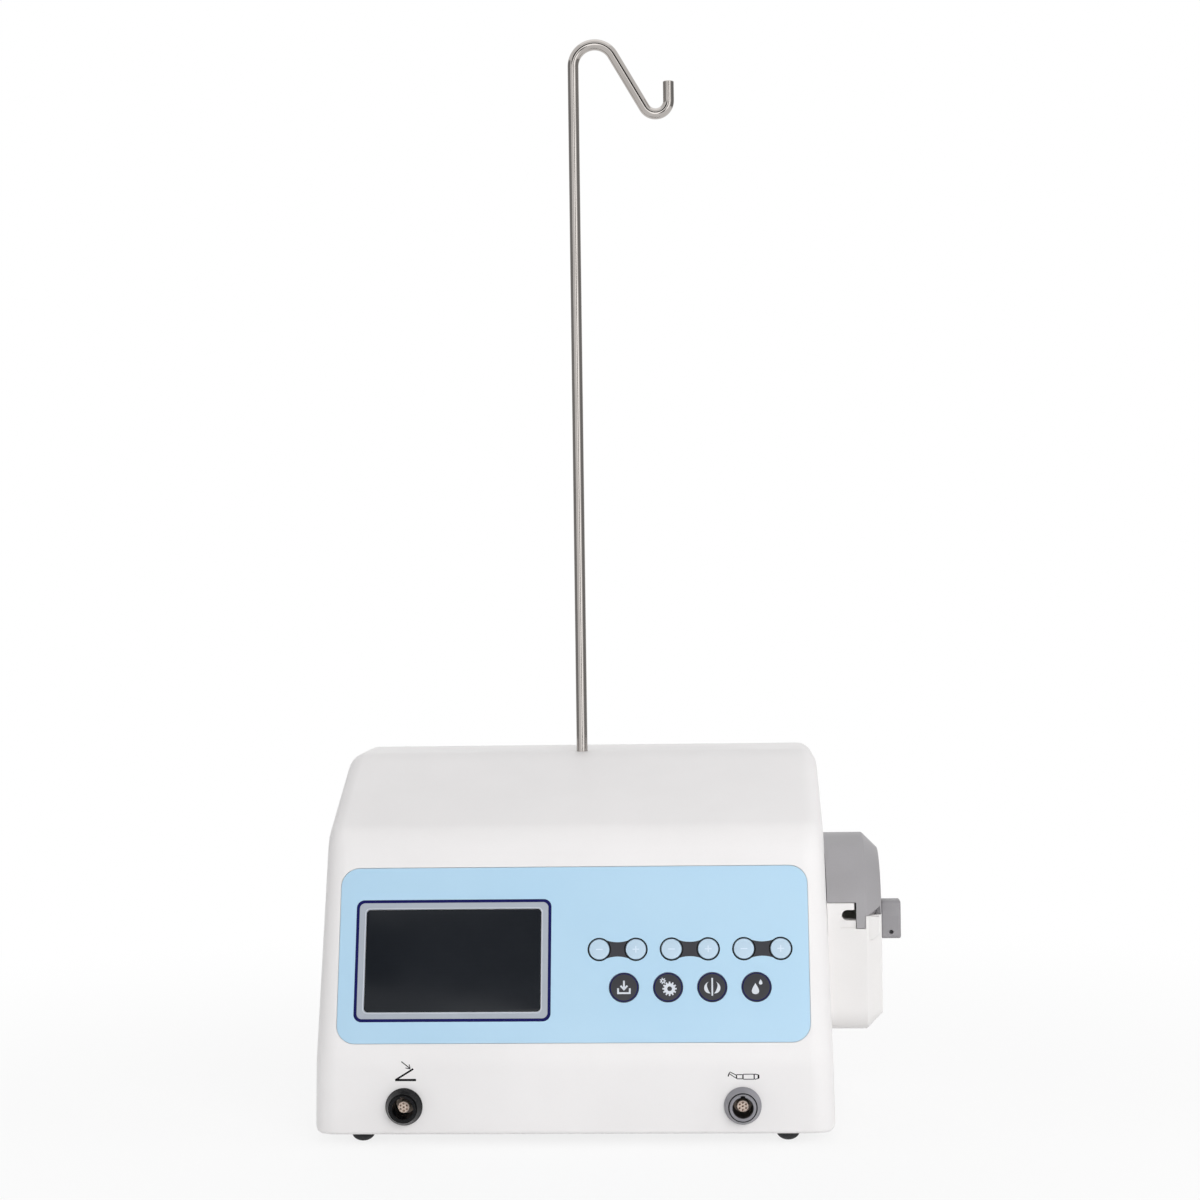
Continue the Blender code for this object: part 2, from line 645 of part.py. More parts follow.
def build_housing(frame, panel, rear):
    """The white moulded shell: walls, screw posts and every hole through it."""
    shape = bmesh.new()
    add_loft(shape, body_sections(0, 0))
    housing = piece("upper_housing", shape, "white_shell", frame)

    shape = bmesh.new()
    add_loft(shape, body_sections(WALL, BODY_BOTTOM))
    combine(housing, helper("housing_cavity", shape, frame), "DIFFERENCE")

    shape = bmesh.new()
    low = BASE_TOP + SEAT_GAP
    for signs in CORNERS.values():
        x, y = base_screw_place(signs)
        ends = sorted((x - signs[0] * POST_HALF_WIDTH, signs[0] * (HALF_WIDTH - WALL / 2)))
        near = (ends[0], y - POST_HALF_WIDTH, low)
        far = (ends[1], y + POST_HALF_WIDTH, low + POST_HEIGHT)
        add_box(shape, near, far)
    combine(housing, helper("screw_posts", shape, frame), "UNION")

    shape = bmesh.new()
    place = at(0, POLE_Y, BODY_TOP)
    add_rod(shape, POLE_SOCKET_FLANGE_RADIUS, POLE_BOSS_END, -0.8 * WALL, ROUND_SIDES, place)
    combine(housing, helper("pole_boss", shape, frame), "UNION")

    shape = bmesh.new()
    root = -(WALL + POCKET_DEPTH) / 2
    for x, y in key_post_places():
        add_rod(shape, KEY_POST_RADIUS, KEY_BOARD_TOP + SEAT_GAP, root, SMALL_SIDES, at(x, y, 0))
    combine(housing, helper("key_posts", shape, panel), "UNION")

    shape = bmesh.new()
    width = OVERLAY_WIDTH + 2 * SEAT_GAP
    height = OVERLAY_HEIGHT + 2 * SEAT_GAP
    pocket = rectangle(width, height, OVERLAY_CORNER + SEAT_GAP, (0, OVERLAY_CENTRE))
    add_prism(shape, pocket, -POCKET_DEPTH, CUT_OVERRUN)
    combine(housing, helper("overlay_pocket", shape, panel), "DIFFERENCE")

    through = (-WALL - CUT_OVERRUN, CUT_OVERRUN)
    shape = bmesh.new()
    width = WINDOW_WIDTH - 2 * WINDOW_LEDGE
    height = WINDOW_HEIGHT - 2 * WINDOW_LEDGE
    add_prism(shape, rectangle(width, height, WINDOW_CORNER, (WINDOW_X, WINDOW_CENTRE)), *through)
    for _, x, y, radius, _ in panel_keys():
        add_rod(shape, radius + RUN_GAP, *through, ROUND_SIDES, at(x, y, 0))
    combine(housing, helper("panel_holes", shape, panel), "DIFFERENCE")

    shape = bmesh.new()
    opening = rectangle(REAR_OPENING_WIDTH, REAR_OPENING_HEIGHT, REAR_PANEL_CORNER)
    add_prism(shape, opening, *through)
    for x, y in panel_screw_places():
        add_rod(shape, SCREW_RADIUS + RUN_GAP, *through, SMALL_SIDES, at(x, y, 0))
    combine(housing, helper("rear_holes", shape, rear), "DIFFERENCE")

    shape = bmesh.new()
    for side in (-1, 1):
        place = at(side * SOCKET_X, 0, SOCKET_Z) @ TO_FRONT
        add_rod(shape, SOCKET_BARREL_RADIUS + SEAT_GAP, *through, ROUND_SIDES, place)
    place = at(0, POLE_Y, BODY_TOP)
    low = POLE_BOSS_END - CUT_OVERRUN
    add_rod(shape, POLE_RADIUS + RUN_GAP, low, CUT_OVERRUN, ROUND_SIDES, place)
    place = at(side_x(PUMP_Z), PUMP_Y, PUMP_Z) @ TO_RIGHT
    add_rod(shape, SHAFT_RADIUS + SHAFT_HOLE_ROOM, *through, ROUND_SIDES, place)
    depth = SCREW_HEAD_HEIGHT + BASE_SCREW_LENGTH + CUT_OVERRUN
    for signs in CORNERS.values():
        place = at(*base_screw_place(signs), BODY_BOTTOM)
        add_rod(shape, SCREW_RADIUS + RUN_GAP, 0, depth, SMALL_SIDES, place)
    combine(housing, helper("shell_holes", shape, frame), "DIFFERENCE")


def screw_shape(length, place=Matrix()):
    """A pan-head screw that points down its own Z, with the seat of its head at zero."""
    profile = (
        (0, SCREW_HEAD_HEIGHT),
        (SCREW_HEAD_RADIUS * 0.8, SCREW_HEAD_HEIGHT),
        (SCREW_HEAD_RADIUS, SCREW_HEAD_HEIGHT / 2),
        (SCREW_HEAD_RADIUS, 0),
        (SCREW_RADIUS, 0),
        (SCREW_RADIUS, -length),
        (0, -length),
    )
    shape = bmesh.new()
    add_turned(shape, profile, SMALL_SIDES, place)
    return shape


def build_base(frame):
    """The plate that closes the shell from below, with its feet and screws."""
    edge = WALL + SEAT_GAP
    x = HALF_WIDTH - edge
    corners = ((-x, edge), (x, edge), (x, BODY_DEPTH - edge), (-x, BODY_DEPTH - edge))
    front = SIDE_ROUND_FRONT - WALL
    back = SIDE_ROUND_REAR - WALL
    shape = bmesh.new()
    add_prism(shape, rounded(corners, (front, front, back, back)), BODY_BOTTOM, BASE_TOP)
    plate = piece("base_plate", shape, "white_shell", frame)

    shape = bmesh.new()
    root = BODY_BOTTOM + BASE_THICKNESS / 2
    for x, y in board_hole_places():
        add_rod(shape, STANDOFF_RADIUS, root, BASE_TOP + STANDOFF_HEIGHT, SMALL_SIDES, at(x, y, 0))
    combine(plate, helper("board_standoffs", shape, frame), "UNION")

    shoulder = FOOT_HEIGHT - SEAT_GAP
    foot_profile = (
        (0, shoulder + BASE_THICKNESS),
        (FOOT_STEM_RADIUS, shoulder + BASE_THICKNESS),
        (FOOT_STEM_RADIUS, shoulder),
        (FOOT_RADIUS, shoulder),
        (FOOT_RADIUS, FOOT_HEIGHT / 2),
        ((FOOT_RADIUS + FOOT_PAD_RADIUS) / 2, FOOT_HEIGHT / 8),
        (FOOT_PAD_RADIUS, 0),
        (0, 0),
    )
    holes = bmesh.new()
    bores = bmesh.new()
    through = (-CUT_OVERRUN, BASE_THICKNESS + CUT_OVERRUN)
    for name, signs in CORNERS.items():
        x, y = base_screw_place(signs)
        place = at(x, y, BODY_BOTTOM)
        add_rod(holes, SCREW_RADIUS + RUN_GAP, *through, SMALL_SIDES, place)
        seat = SCREW_HEAD_HEIGHT + SEAT_GAP
        add_rod(bores, SCREW_HEAD_RADIUS + RUN_GAP, -CUT_OVERRUN, seat, SMALL_SIDES, place)
        screw = screw_shape(BASE_SCREW_LENGTH, UPSIDE_DOWN)
        piece(f"base_screw_{name}", screw, "plated", frame, (x, y, BODY_BOTTOM + SCREW_HEAD_HEIGHT))

        x = signs[0] * FOOT_X
        y = FOOT_INSET_FRONT if signs[1] < 0 else BODY_DEPTH - FOOT_INSET_REAR
        add_rod(holes, FOOT_STEM_RADIUS + RUN_GAP, *through, SMALL_SIDES, at(x, y, BODY_BOTTOM))
        shape = bmesh.new()
        add_turned(shape, foot_profile, ROUND_SIDES)
        piece(f"foot_{name}", shape, "rubber", frame, (x, y, 0))
    combine(plate, helper("plate_holes", holes, frame), "DIFFERENCE")
    combine(plate, helper("screw_counterbores", bores, frame), "DIFFERENCE")


def build_front_panel(panel):
    """Overlay, display and keys on the tilted face, and the boards behind it."""
    shape = bmesh.new()
    outline = rectangle(OVERLAY_WIDTH, OVERLAY_HEIGHT, OVERLAY_CORNER, (0, OVERLAY_CENTRE))
    add_prism(shape, outline, -OVERLAY_THICKNESS, 0)
    overlay = piece("front_overlay", shape, "blue_film", panel)

    middle = (WINDOW_X, WINDOW_CENTRE)
    shape = bmesh.new()
    width = WINDOW_WIDTH + 2 * SEAT_GAP
    height = WINDOW_HEIGHT + 2 * SEAT_GAP
    hole = rectangle(width, height, WINDOW_CORNER + SEAT_GAP, middle)
    add_prism(shape, hole, -CUT_OVERRUN, CUT_OVERRUN)
    for _, x, y, radius, _ in panel_keys():
        add_rod(shape, radius + RUN_GAP, -CUT_OVERRUN, CUT_OVERRUN, ROUND_SIDES, at(x, y, 0))
    combine(overlay, helper("overlay_holes", shape, panel), "DIFFERENCE")

    shape = bmesh.new()
    outline = rectangle(WINDOW_WIDTH, WINDOW_HEIGHT, WINDOW_CORNER, middle)
    add_prism(shape, outline, -OVERLAY_THICKNESS, 0)
    piece("display_window", shape, "screen_glass", panel)

    shape = bmesh.new()
    outline = rectangle(DISPLAY_WIDTH, DISPLAY_HEIGHT, WINDOW_CORNER, middle)
    add_prism(shape, outline, -WALL - SEAT_GAP - DISPLAY_THICKNESS, -WALL - SEAT_GAP)
    piece("display_module", shape, "aluminium", panel)

    flange_low = KEY_FLANGE_TOP - KEY_FLANGE_THICKNESS
    domes = bmesh.new()
    for name, x, y, radius, finish in panel_keys():
        profile = (
            (0, KEY_CROWN),
            (radius * 0.85, KEY_CROWN * 0.7),
            (radius, 0),
            (radius, KEY_FLANGE_TOP),
            (radius + KEY_FLANGE, KEY_FLANGE_TOP),
            (radius + KEY_FLANGE, flange_low),
            (KEY_STEM_RADIUS, flange_low),
            (KEY_STEM_RADIUS, KEY_STEM_END),
            (0, KEY_STEM_END),
        )
        shape = bmesh.new()
        add_turned(shape, profile, ROUND_SIDES)
        piece(name, shape, finish, panel, (x, y, 0))
        root = KEY_BOARD_TOP - BOARD_THICKNESS / 2
        add_rod(domes, SWITCH_DOME_RADIUS, root, DOME_TOP, SMALL_SIDES, at(x, y, 0))

    shape = bmesh.new()
    centre = (KEY_FIELD_X, KEY_BOARD_CENTRE)
    outline = rectangle(KEY_BOARD_WIDTH, KEY_BOARD_HEIGHT, WINDOW_CORNER, centre)
    add_prism(shape, outline, KEY_BOARD_TOP - BOARD_THICKNESS, KEY_BOARD_TOP)
    board = piece("key_board", shape, "green_board", panel)
    combine(board, helper("switch_domes", domes, panel), "UNION")


def build_socket(name, frame, x, finish):
    """A round push-in socket: flanged barrel, contact insert and the ring nut inside the wall."""
    place = (x, 0, SOCKET_Z)
    turn = (math.pi / 2, 0, 0)
    lip_top = SOCKET_LIP - SOCKET_BARREL_LENGTH
    profile = (
        (SOCKET_BORE_RADIUS, FRONT_REACH),
        (SOCKET_NOSE_RADIUS, FRONT_REACH),
        (SOCKET_FLANGE_RADIUS, SEAT_GAP + SOCKET_FLANGE_THICKNESS),
        (SOCKET_FLANGE_RADIUS, SEAT_GAP),
        (SOCKET_BARREL_RADIUS, SEAT_GAP),
        (SOCKET_BARREL_RADIUS, -SOCKET_BARREL_LENGTH),
        (SOCKET_LIP_RADIUS, -SOCKET_BARREL_LENGTH),
        (SOCKET_LIP_RADIUS, lip_top),
        (SOCKET_BORE_RADIUS, lip_top),
    )
    shape = bmesh.new()
    add_turned(shape, profile, WIDE_SIDES)
    piece(name, shape, finish, frame, place, turn)

    base_low = lip_top + SEAT_GAP
    base_high = base_low + INSERT_BASE_THICKNESS
    profile = (
        (0, -INSERT_TOWER_DEPTH),
        (INSERT_TOWER_RADIUS, -INSERT_TOWER_DEPTH),
        (INSERT_TOWER_RADIUS, base_high),
        (SOCKET_BORE_RADIUS - SEAT_GAP, base_high),
        (SOCKET_BORE_RADIUS - SEAT_GAP, base_low),
        (SOCKET_LIP_RADIUS - SEAT_GAP, base_low),
        (SOCKET_LIP_RADIUS - SEAT_GAP, -SOCKET_TAIL_END),
        (0, -SOCKET_TAIL_END),
    )
    shape = bmesh.new()
    add_turned(shape, profile, WIDE_SIDES)
    piece(name + "_insert", shape, "contact_block", frame, place, turn)

    inner = SOCKET_BARREL_RADIUS + SEAT_GAP
    high = -WALL - SEAT_GAP
    low = high - SOCKET_NUT_THICKNESS
    profile = ((inner, high), (SOCKET_NUT_RADIUS, high), (SOCKET_NUT_RADIUS, low), (inner, low))
    shape = bmesh.new()
    add_turned(shape, profile, WIDE_SIDES)
    piece(name + "_nut", shape, "plated", frame, place, turn)


def pole_route():
    """Centre line of the bent rod, from its axis at the height of the body's top."""
    crook = np.array((CROOK_RADIUS, POLE_CREST - BODY_TOP - CROOK_RADIUS))
    leave = math.pi / 2 - CROOK_SLANT
    outwards = np.array((math.cos(leave), math.sin(leave)))
    down = np.array((math.sin(leave), -math.cos(leave)))
    hook = crook + outwards * (CROOK_RADIUS + HOOK_RADIUS) + down * SLANT_LENGTH
    crook_turn = np.linspace(math.pi, leave, BEND_STEPS + 1)
    hook_turn = np.linspace(math.pi + leave, 2 * math.pi, BEND_STEPS + 1)
    route = [(0, -POLE_DEPTH)]
    route += [crook + CROOK_RADIUS * np.array((math.cos(a), math.sin(a))) for a in crook_turn]
    route += [hook + HOOK_RADIUS * np.array((math.cos(a), math.sin(a))) for a in hook_turn]
    route.append(route[-1] + np.array((0, HOOK_TIP)))
    return [(x, 0, z) for x, z in route]


def build_pole(frame):
    """The bent steel rod, the nylon bush that it stands in and the metal socket under the top."""
    axis = (0, POLE_Y, BODY_TOP)
    rod_object("bag_pole", pole_route(), POLE_RADIUS, "steel", frame, axis)

    top = POLE_BOSS_END - SEAT_GAP
    bore = POLE_RADIUS + RUN_GAP
    outer = bore + BUSH_WALL
    bore_end = -POLE_DEPTH - SEAT_GAP
    bush_end = bore_end - BUSH_FLOOR
    profile = ((0, bush_end), (outer, bush_end), (outer, top), (bore, top), (bore, bore_end), (0, bore_end))
    shape = bmesh.new()
    add_turned(shape, profile, ROUND_SIDES)
    piece("pole_bush", shape, "nylon", frame, axis)

    well = outer + RUN_GAP
    barrel = well + POLE_SOCKET_WALL
    well_end = bush_end - SEAT_GAP
    floor = well_end - POLE_SOCKET_WALL
    under = top - POLE_SOCKET_FLANGE_THICKNESS
    profile = (
        (0, floor),
        (barrel, floor),
        (barrel, under),
        (POLE_SOCKET_FLANGE_RADIUS, under),
        (POLE_SOCKET_FLANGE_RADIUS, top),
        (well, top),
        (well, well_end),
        (0, well_end),
    )
    shape = bmesh.new()
    add_turned(shape, profile, ROUND_SIDES)
    piece("pole_socket", shape, "aluminium", frame, axis)


def strip_outline(line, thickness):
    """The outline of a strip that follows a line of points."""
    along = np.gradient(line, axis=0)
    along /= np.linalg.norm(along, axis=1, keepdims=True)
    aside = np.stack([-along[:, 1], along[:, 0]], axis=1) * thickness / 2
    return [tuple(point) for point in np.concatenate([line + aside, (line - aside)[::-1]])]


def build_inside(frame):
    """Main board, power supply and the wiring between the boards and the front."""
    half = (MAIN_BOARD_WIDTH / 2, MAIN_BOARD_DEPTH / 2)
    low = (MAIN_BOARD_X - half[0], MAIN_BOARD_Y - half[1], MAIN_BOARD_Z)
    high = (MAIN_BOARD_X + half[0], MAIN_BOARD_Y + half[1], BOARD_TOP)
    shape = bmesh.new()
    add_box(shape, low, high)
    board = piece("main_board", shape, "green_board", frame)
    shape = bmesh.new()
    y = MAIN_BOARD_Y + MAIN_BOARD_DEPTH / 5
    for column in (-1, 0, 1):
        x = MAIN_BOARD_X + column * MAIN_BOARD_WIDTH / 5
        low = (x - CHIP_SIZE / 2, y - CHIP_SIZE / 2, BOARD_TOP - BOARD_THICKNESS / 2)
        high = (x + CHIP_SIZE / 2, y + CHIP_SIZE / 2, BOARD_TOP + CHIP_HEIGHT)
        add_box(shape, low, high)
    combine(board, helper("board_chips", shape, frame), "UNION")

    bottom = BASE_TOP + SEAT_GAP
    low = (SUPPLY_X - SUPPLY_WIDTH / 2, SUPPLY_Y - SUPPLY_DEPTH / 2, bottom)
    high = (SUPPLY_X + SUPPLY_WIDTH / 2, SUPPLY_Y + SUPPLY_DEPTH / 2, bottom + SUPPLY_HEIGHT)
    shape = bmesh.new()
    add_box(shape, low, high)
    piece("power_supply", shape, "aluminium", frame)

    up_panel = np.array((math.sin(PANEL_TILT), math.cos(PANEL_TILT)))
    inwards = np.array((math.cos(PANEL_TILT), -math.sin(PANEL_TILT)))
    depth = WALL + SEAT_GAP + DISPLAY_THICKNESS + SEAT_GAP
    rise = WINDOW_CENTRE - WINDOW_HEIGHT / 4
    start = np.array((0, KNEE_Z)) + rise * up_panel + depth * inwards
    end = np.array((MAIN_BOARD_Y - MAIN_BOARD_DEPTH / 4, BOARD_TOP + SEAT_GAP))
    route = bezier(start, start + RIBBON_SLACK * inwards, end + (0, RIBBON_SLACK), end)
    outline = strip_outline(route, RIBBON_THICKNESS)
    shape = bmesh.new()
    add_prism(shape, outline, RIBBON_X - RIBBON_WIDTH / 2, RIBBON_X + RIBBON_WIDTH / 2, SIDE_ON)
    piece("display_ribbon", shape, "flat_cable", frame)

    start = np.array((SOCKET_X, SOCKET_TAIL_END + SEAT_GAP, SOCKET_Z))
    end = np.array((MAIN_BOARD_X + half[0] - LEAD_INSET, end[0], BOARD_TOP + SEAT_GAP))
    route = bezier(start, start + (0, LEAD_SLACK, 0), end + (0, 0, LEAD_SLACK), end)
    rod_object("motor_lead", route, LEAD_DIAMETER / 2, "grey_lead", frame)


def build_rear_panel(rear):
    """The plate over the opening in the rear wall, with its screws and vents."""
    high = SEAT_GAP + REAR_PANEL_THICKNESS
    width = REAR_OPENING_WIDTH + 2 * REAR_PANEL_MARGIN
    height = REAR_OPENING_HEIGHT + 2 * REAR_PANEL_MARGIN
    shape = bmesh.new()
    add_prism(shape, rectangle(width, height, REAR_PANEL_CORNER), SEAT_GAP, high)
    plate = piece("rear_panel", shape, "grey_shell", rear)

    through = (-CUT_OVERRUN, high + CUT_OVERRUN)
    shape = bmesh.new()
    width = INLET_WIDTH - 2 * INLET_RIM + 2 * SEAT_GAP
    height = INLET_HEIGHT - 2 * INLET_RIM + 2 * SEAT_GAP
    add_prism(shape, rectangle(width, height, INLET_CORNER, (INLET_X, 0)), *through)
    width = SWITCH_WIDTH - 2 * SWITCH_RIM + 2 * SEAT_GAP
    height = SWITCH_HEIGHT - 2 * SWITCH_RIM + 2 * SEAT_GAP
    add_prism(shape, rectangle(width, height, SWITCH_CORNER, (SWITCH_X, 0)), *through)
    for column in range(VENT_COUNT):
        x = VENT_X + (column - (VENT_COUNT - 1) / 2) * VENT_PITCH
        add_prism(shape, rectangle(VENT_WIDTH, VENT_HEIGHT, VENT_WIDTH * 0.45, (x, 0)), *through)
    for number, (x, y) in enumerate(panel_screw_places(), start=1):
        add_rod(shape, SCREW_RADIUS + RUN_GAP, *through, SMALL_SIDES, at(x, y, 0))
        screw = screw_shape(PANEL_SCREW_LENGTH)
        piece(f"panel_screw_{number}", screw, "plated", rear, (x, y, REAR_SEAT))
    combine(plate, helper("rear_panel_holes", shape, rear), "DIFFERENCE")


def build_inlet(rear):
    """The mains inlet with its three pins, and the fuse drawer that slides out below it."""
    face = REAR_SEAT + INLET_FLANGE
    shape = bmesh.new()
    outline = rectangle(INLET_WIDTH, INLET_HEIGHT, INLET_CORNER, (INLET_X, 0))
    add_prism(shape, outline, REAR_SEAT, face)
    inlet = piece("mains_inlet", shape, "black_nylon", rear)

    shape = bmesh.new()
    width = INLET_WIDTH - 2 * INLET_RIM
    height = INLET_HEIGHT - 2 * INLET_RIM
    core = rectangle(width, height, INLET_CORNER, (INLET_X, 0))
    add_prism(shape, core, REAR_SEAT - INLET_DEPTH, REAR_SEAT + INLET_FLANGE / 2)
    combine(inlet, helper("inlet_core", shape, rear), "UNION")

    left = INLET_X - COUPLER_WIDTH / 2
    right = INLET_X + COUPLER_WIDTH / 2
    top = COUPLER_RISE + COUPLER_HEIGHT / 2
    bottom = COUPLER_RISE - COUPLER_HEIGHT / 2
    coupler = (
        (left, bottom),
        (right, bottom),
        (right, top - COUPLER_BEVEL),
        (right - COUPLER_BEVEL, top),
        (left + COUPLER_BEVEL, top),
        (left, top - COUPLER_BEVEL),
    )
    shape = bmesh.new()
    floor = face - COUPLER_DEPTH
    add_prism(shape, coupler, floor, face + CUT_OVERRUN)
    x = FUSE_WIDTH / 2 + SEAT_GAP
    y = FUSE_HEIGHT / 2 + SEAT_GAP
    low = (INLET_X - x, -FUSE_DROP - y, face - FUSE_DEPTH - SEAT_GAP)
    high = (INLET_X + x, -FUSE_DROP + y, face + CUT_OVERRUN)
    add_box(shape, low, high)
    combine(inlet, helper("inlet_recesses", shape, rear), "DIFFERENCE")

    shape = bmesh.new()
    for column, rise in ((-1, -LIVE_PIN_DROP), (0, EARTH_PIN_RISE), (1, -LIVE_PIN_DROP)):
        x = INLET_X + column * MAINS_PIN_SPACING
        y = COUPLER_RISE + rise
        low = (x - MAINS_PIN_WIDTH / 2, y - MAINS_PIN_HEIGHT / 2, floor - INLET_FLANGE)
        high = (x + MAINS_PIN_WIDTH / 2, y + MAINS_PIN_HEIGHT / 2, floor + MAINS_PIN_LENGTH)
        add_box(shape, low, high)
    combine(inlet, helper("mains_pins", shape, rear), "UNION")

    place = (INLET_X, -FUSE_DROP, face)
    shape = bmesh.new()
    low = (-FUSE_WIDTH / 2, -FUSE_HEIGHT / 2, -FUSE_DEPTH)
    high = (FUSE_WIDTH / 2, FUSE_HEIGHT / 2, SEAT_GAP + FUSE_FACE / 2)
    add_box(shape, low, high)
    drawer = piece("fuse_drawer", shape, "black_nylon", rear, place)
    shape = bmesh.new()
    width = FUSE_WIDTH + 2 * FUSE_FACE_MARGIN
    height = FUSE_HEIGHT + 2 * FUSE_FACE_MARGIN
    add_prism(shape, rectangle(width, height, FUSE_FACE_MARGIN), SEAT_GAP, SEAT_GAP + FUSE_FACE)
    combine(drawer, helper("fuse_face", shape, rear, place), "UNION")


def build_switch(rear):
    """The mains switch: a snapped-in frame and the rocker that tips in it."""
    face = REAR_SEAT + SWITCH_FLANGE
    shape = bmesh.new()
    outline = rectangle(SWITCH_WIDTH, SWITCH_HEIGHT, SWITCH_CORNER, (SWITCH_X, 0))
    add_prism(shape, outline, REAR_SEAT, face)
    switch = piece("switch_frame", shape, "black_nylon", rear)

    shape = bmesh.new()
    width = SWITCH_WIDTH - 2 * SWITCH_RIM
    height = SWITCH_HEIGHT - 2 * SWITCH_RIM
    core = rectangle(width, height, SWITCH_CORNER, (SWITCH_X, 0))
    add_prism(shape, core, REAR_SEAT - SWITCH_DEPTH, REAR_SEAT + SWITCH_FLANGE / 2)
    combine(switch, helper("switch_core", shape, rear), "UNION")

    shape = bmesh.new()
    x = ROCKER_WIDTH / 2 + RUN_GAP
    y = ROCKER_SWEEP + RUN_GAP
    low = (SWITCH_X - x, -y, face - SWITCH_WELL_DEPTH)
    high = (SWITCH_X + x, y, face + CUT_OVERRUN)
    add_box(shape, low, high)
    combine(switch, helper("switch_well", shape, rear), "DIFFERENCE")

    shape = bmesh.new()
    reach = ROCKER_WIDTH / 2 + ROCKER_PIN_LENGTH + RUN_GAP
    place = at(SWITCH_X, 0, ROCKER_PIVOT) @ TO_RIGHT
    add_rod(shape, ROCKER_PIN_RADIUS + RUN_GAP, -reach, reach, SMALL_SIDES, place)
    combine(switch, helper("pivot_holes", shape, rear), "DIFFERENCE")

    half = ROCKER_LENGTH / 2
    keel = ROCKER_KEEL_LENGTH / 2
    outline = (
        (-half, ROCKER_PROUD),
        (-half, 0),
        (-keel, -ROCKER_KEEL),
        (keel, -ROCKER_KEEL),
        (half, 0),
        (half, ROCKER_PROUD),
        (0, ROCKER_PROUD - ROCKER_HOLLOW),
    )
    pivot = (SWITCH_X, 0, ROCKER_PIVOT)
    tilt = (ROCKER_TILT, 0, 0)
    shape = bmesh.new()
    add_prism(shape, outline, -ROCKER_WIDTH / 2, ROCKER_WIDTH / 2, SIDE_ON)
    rocker = piece("power_rocker", shape, "black_nylon", rear, pivot, tilt)
    shape = bmesh.new()
    reach = ROCKER_WIDTH / 2 + ROCKER_PIN_LENGTH
    add_rod(shape, ROCKER_PIN_RADIUS, -reach, reach, SMALL_SIDES, TO_RIGHT)
    combine(rocker, helper("rocker_pins", shape, rear, pivot, tilt), "UNION")


def pump_outline(inset):
    """The pump seen from its side, in Y and Z: an arch on top, round corners below."""
    half = PUMP_RADIUS - inset
    low = PUMP_BOTTOM + inset
    corner = max(PUMP_BOTTOM_CORNER - inset, PUMP_BOTTOM_CORNER / 4)
    outline = []
    for middle, start in ((corner - half, math.pi), (half - corner, 1.5 * math.pi)):
        for angle in np.linspace(start, start + math.pi / 2, ARC_STEPS + 1):
            y = PUMP_Y + middle + corner * math.cos(angle)
            outline.append((y, low + corner + corner * math.sin(angle)))
    for angle in np.linspace(0, math.pi, ARCH_STEPS + 1):
        outline.append((PUMP_Y + half * math.cos(angle), PUMP_Z + half * math.sin(angle)))
    return outline


def pump_shape(gap):
    """The whole pump's outer form beside the body's wall, bevelled all round its outer side."""
    full = pump_outline(0)
    bevelled = pump_outline(PUMP_CHAMFER)
    shape = bmesh.new()
    sections = [
        [(side_x(z) + gap, y, z) for y, z in full],
        [(PUMP_OUTER - PUMP_CHAMFER, y, z) for y, z in full],
        [(PUMP_OUTER, y, z) for y, z in bevelled],
    ]
    add_loft(shape, sections)
    return shape


def cover_space(name, frame, grow):
    """The space above the split of housing and cover, with the cover's leg and its side apron."""
    near = PUMP_FRONT - CUT_OVERRUN
    far = PUMP_OUTER + CUT_OVERRUN
    roof = PUMP_Z + PUMP_RADIUS + CUT_OVERRUN
    root = SPLIT_Z + COVER_OVERLAP
    shape = bmesh.new()
    add_box(shape, (0, near, SPLIT_Z - grow), (far, HINGE_Y, roof))
    space = helper(name, shape, frame)

    shape = bmesh.new()
    low = (LEG_X - grow, near - CUT_OVERRUN, SPLIT_Z - LEG_DROP - grow)
    high = (APRON_X + grow, PUMP_FRONT + LEG_THICKNESS + grow, root)
    add_box(shape, low, high)
    combine(space, helper(name + "_leg", shape, frame), "UNION")

    shape = bmesh.new()
    low = (APRON_X - COVER_OVERLAP, near - 2 * CUT_OVERRUN, SPLIT_Z - APRON_DROP - grow)
    high = (far + CUT_OVERRUN, PUMP_FRONT + APRON_DEPTH + grow, root + COVER_OVERLAP)
    add_box(shape, low, high)
    combine(space, helper(name + "_apron", shape, frame), "UNION")
    return space


def hinge_spans():
    """Where along X the housing's first eye, the cover's eye and the housing's last eye lie."""
    first = PUMP_FACE + HINGE_INSET
    middle = first + KNUCKLE_WIDTH + SEAT_GAP
    last = middle + HINGE_MIDDLE + SEAT_GAP
    return (first, first + KNUCKLE_WIDTH), (middle, middle + HINGE_MIDDLE), (last, last + KNUCKLE_WIDTH)


def hinge_outline(side):
    """A hinge eye in Y and Z with a web to the pump's rear wall, above (1) or below (-1) the split."""
    start = math.pi - math.asin(SEAT_GAP / KNUCKLE_RADIUS)
    slant = math.atan2(HINGE_WEB_HEIGHT, HINGE_ROOT)
    touch = math.acos(KNUCKLE_RADIUS / math.hypot(HINGE_WEB_HEIGHT, HINGE_ROOT))
    end = 3 * math.pi - slant - touch
    eye = [
        (KNUCKLE_RADIUS * math.cos(angle), KNUCKLE_RADIUS * math.sin(angle))
        for angle in np.linspace(start, end, SMALL_SIDES)
    ]
    web = [(-HINGE_ROOT, HINGE_WEB_HEIGHT), (-HINGE_ROOT, SEAT_GAP)]
    return [(HINGE_Y + y, SPLIT_Z + side * z) for y, z in eye + web]


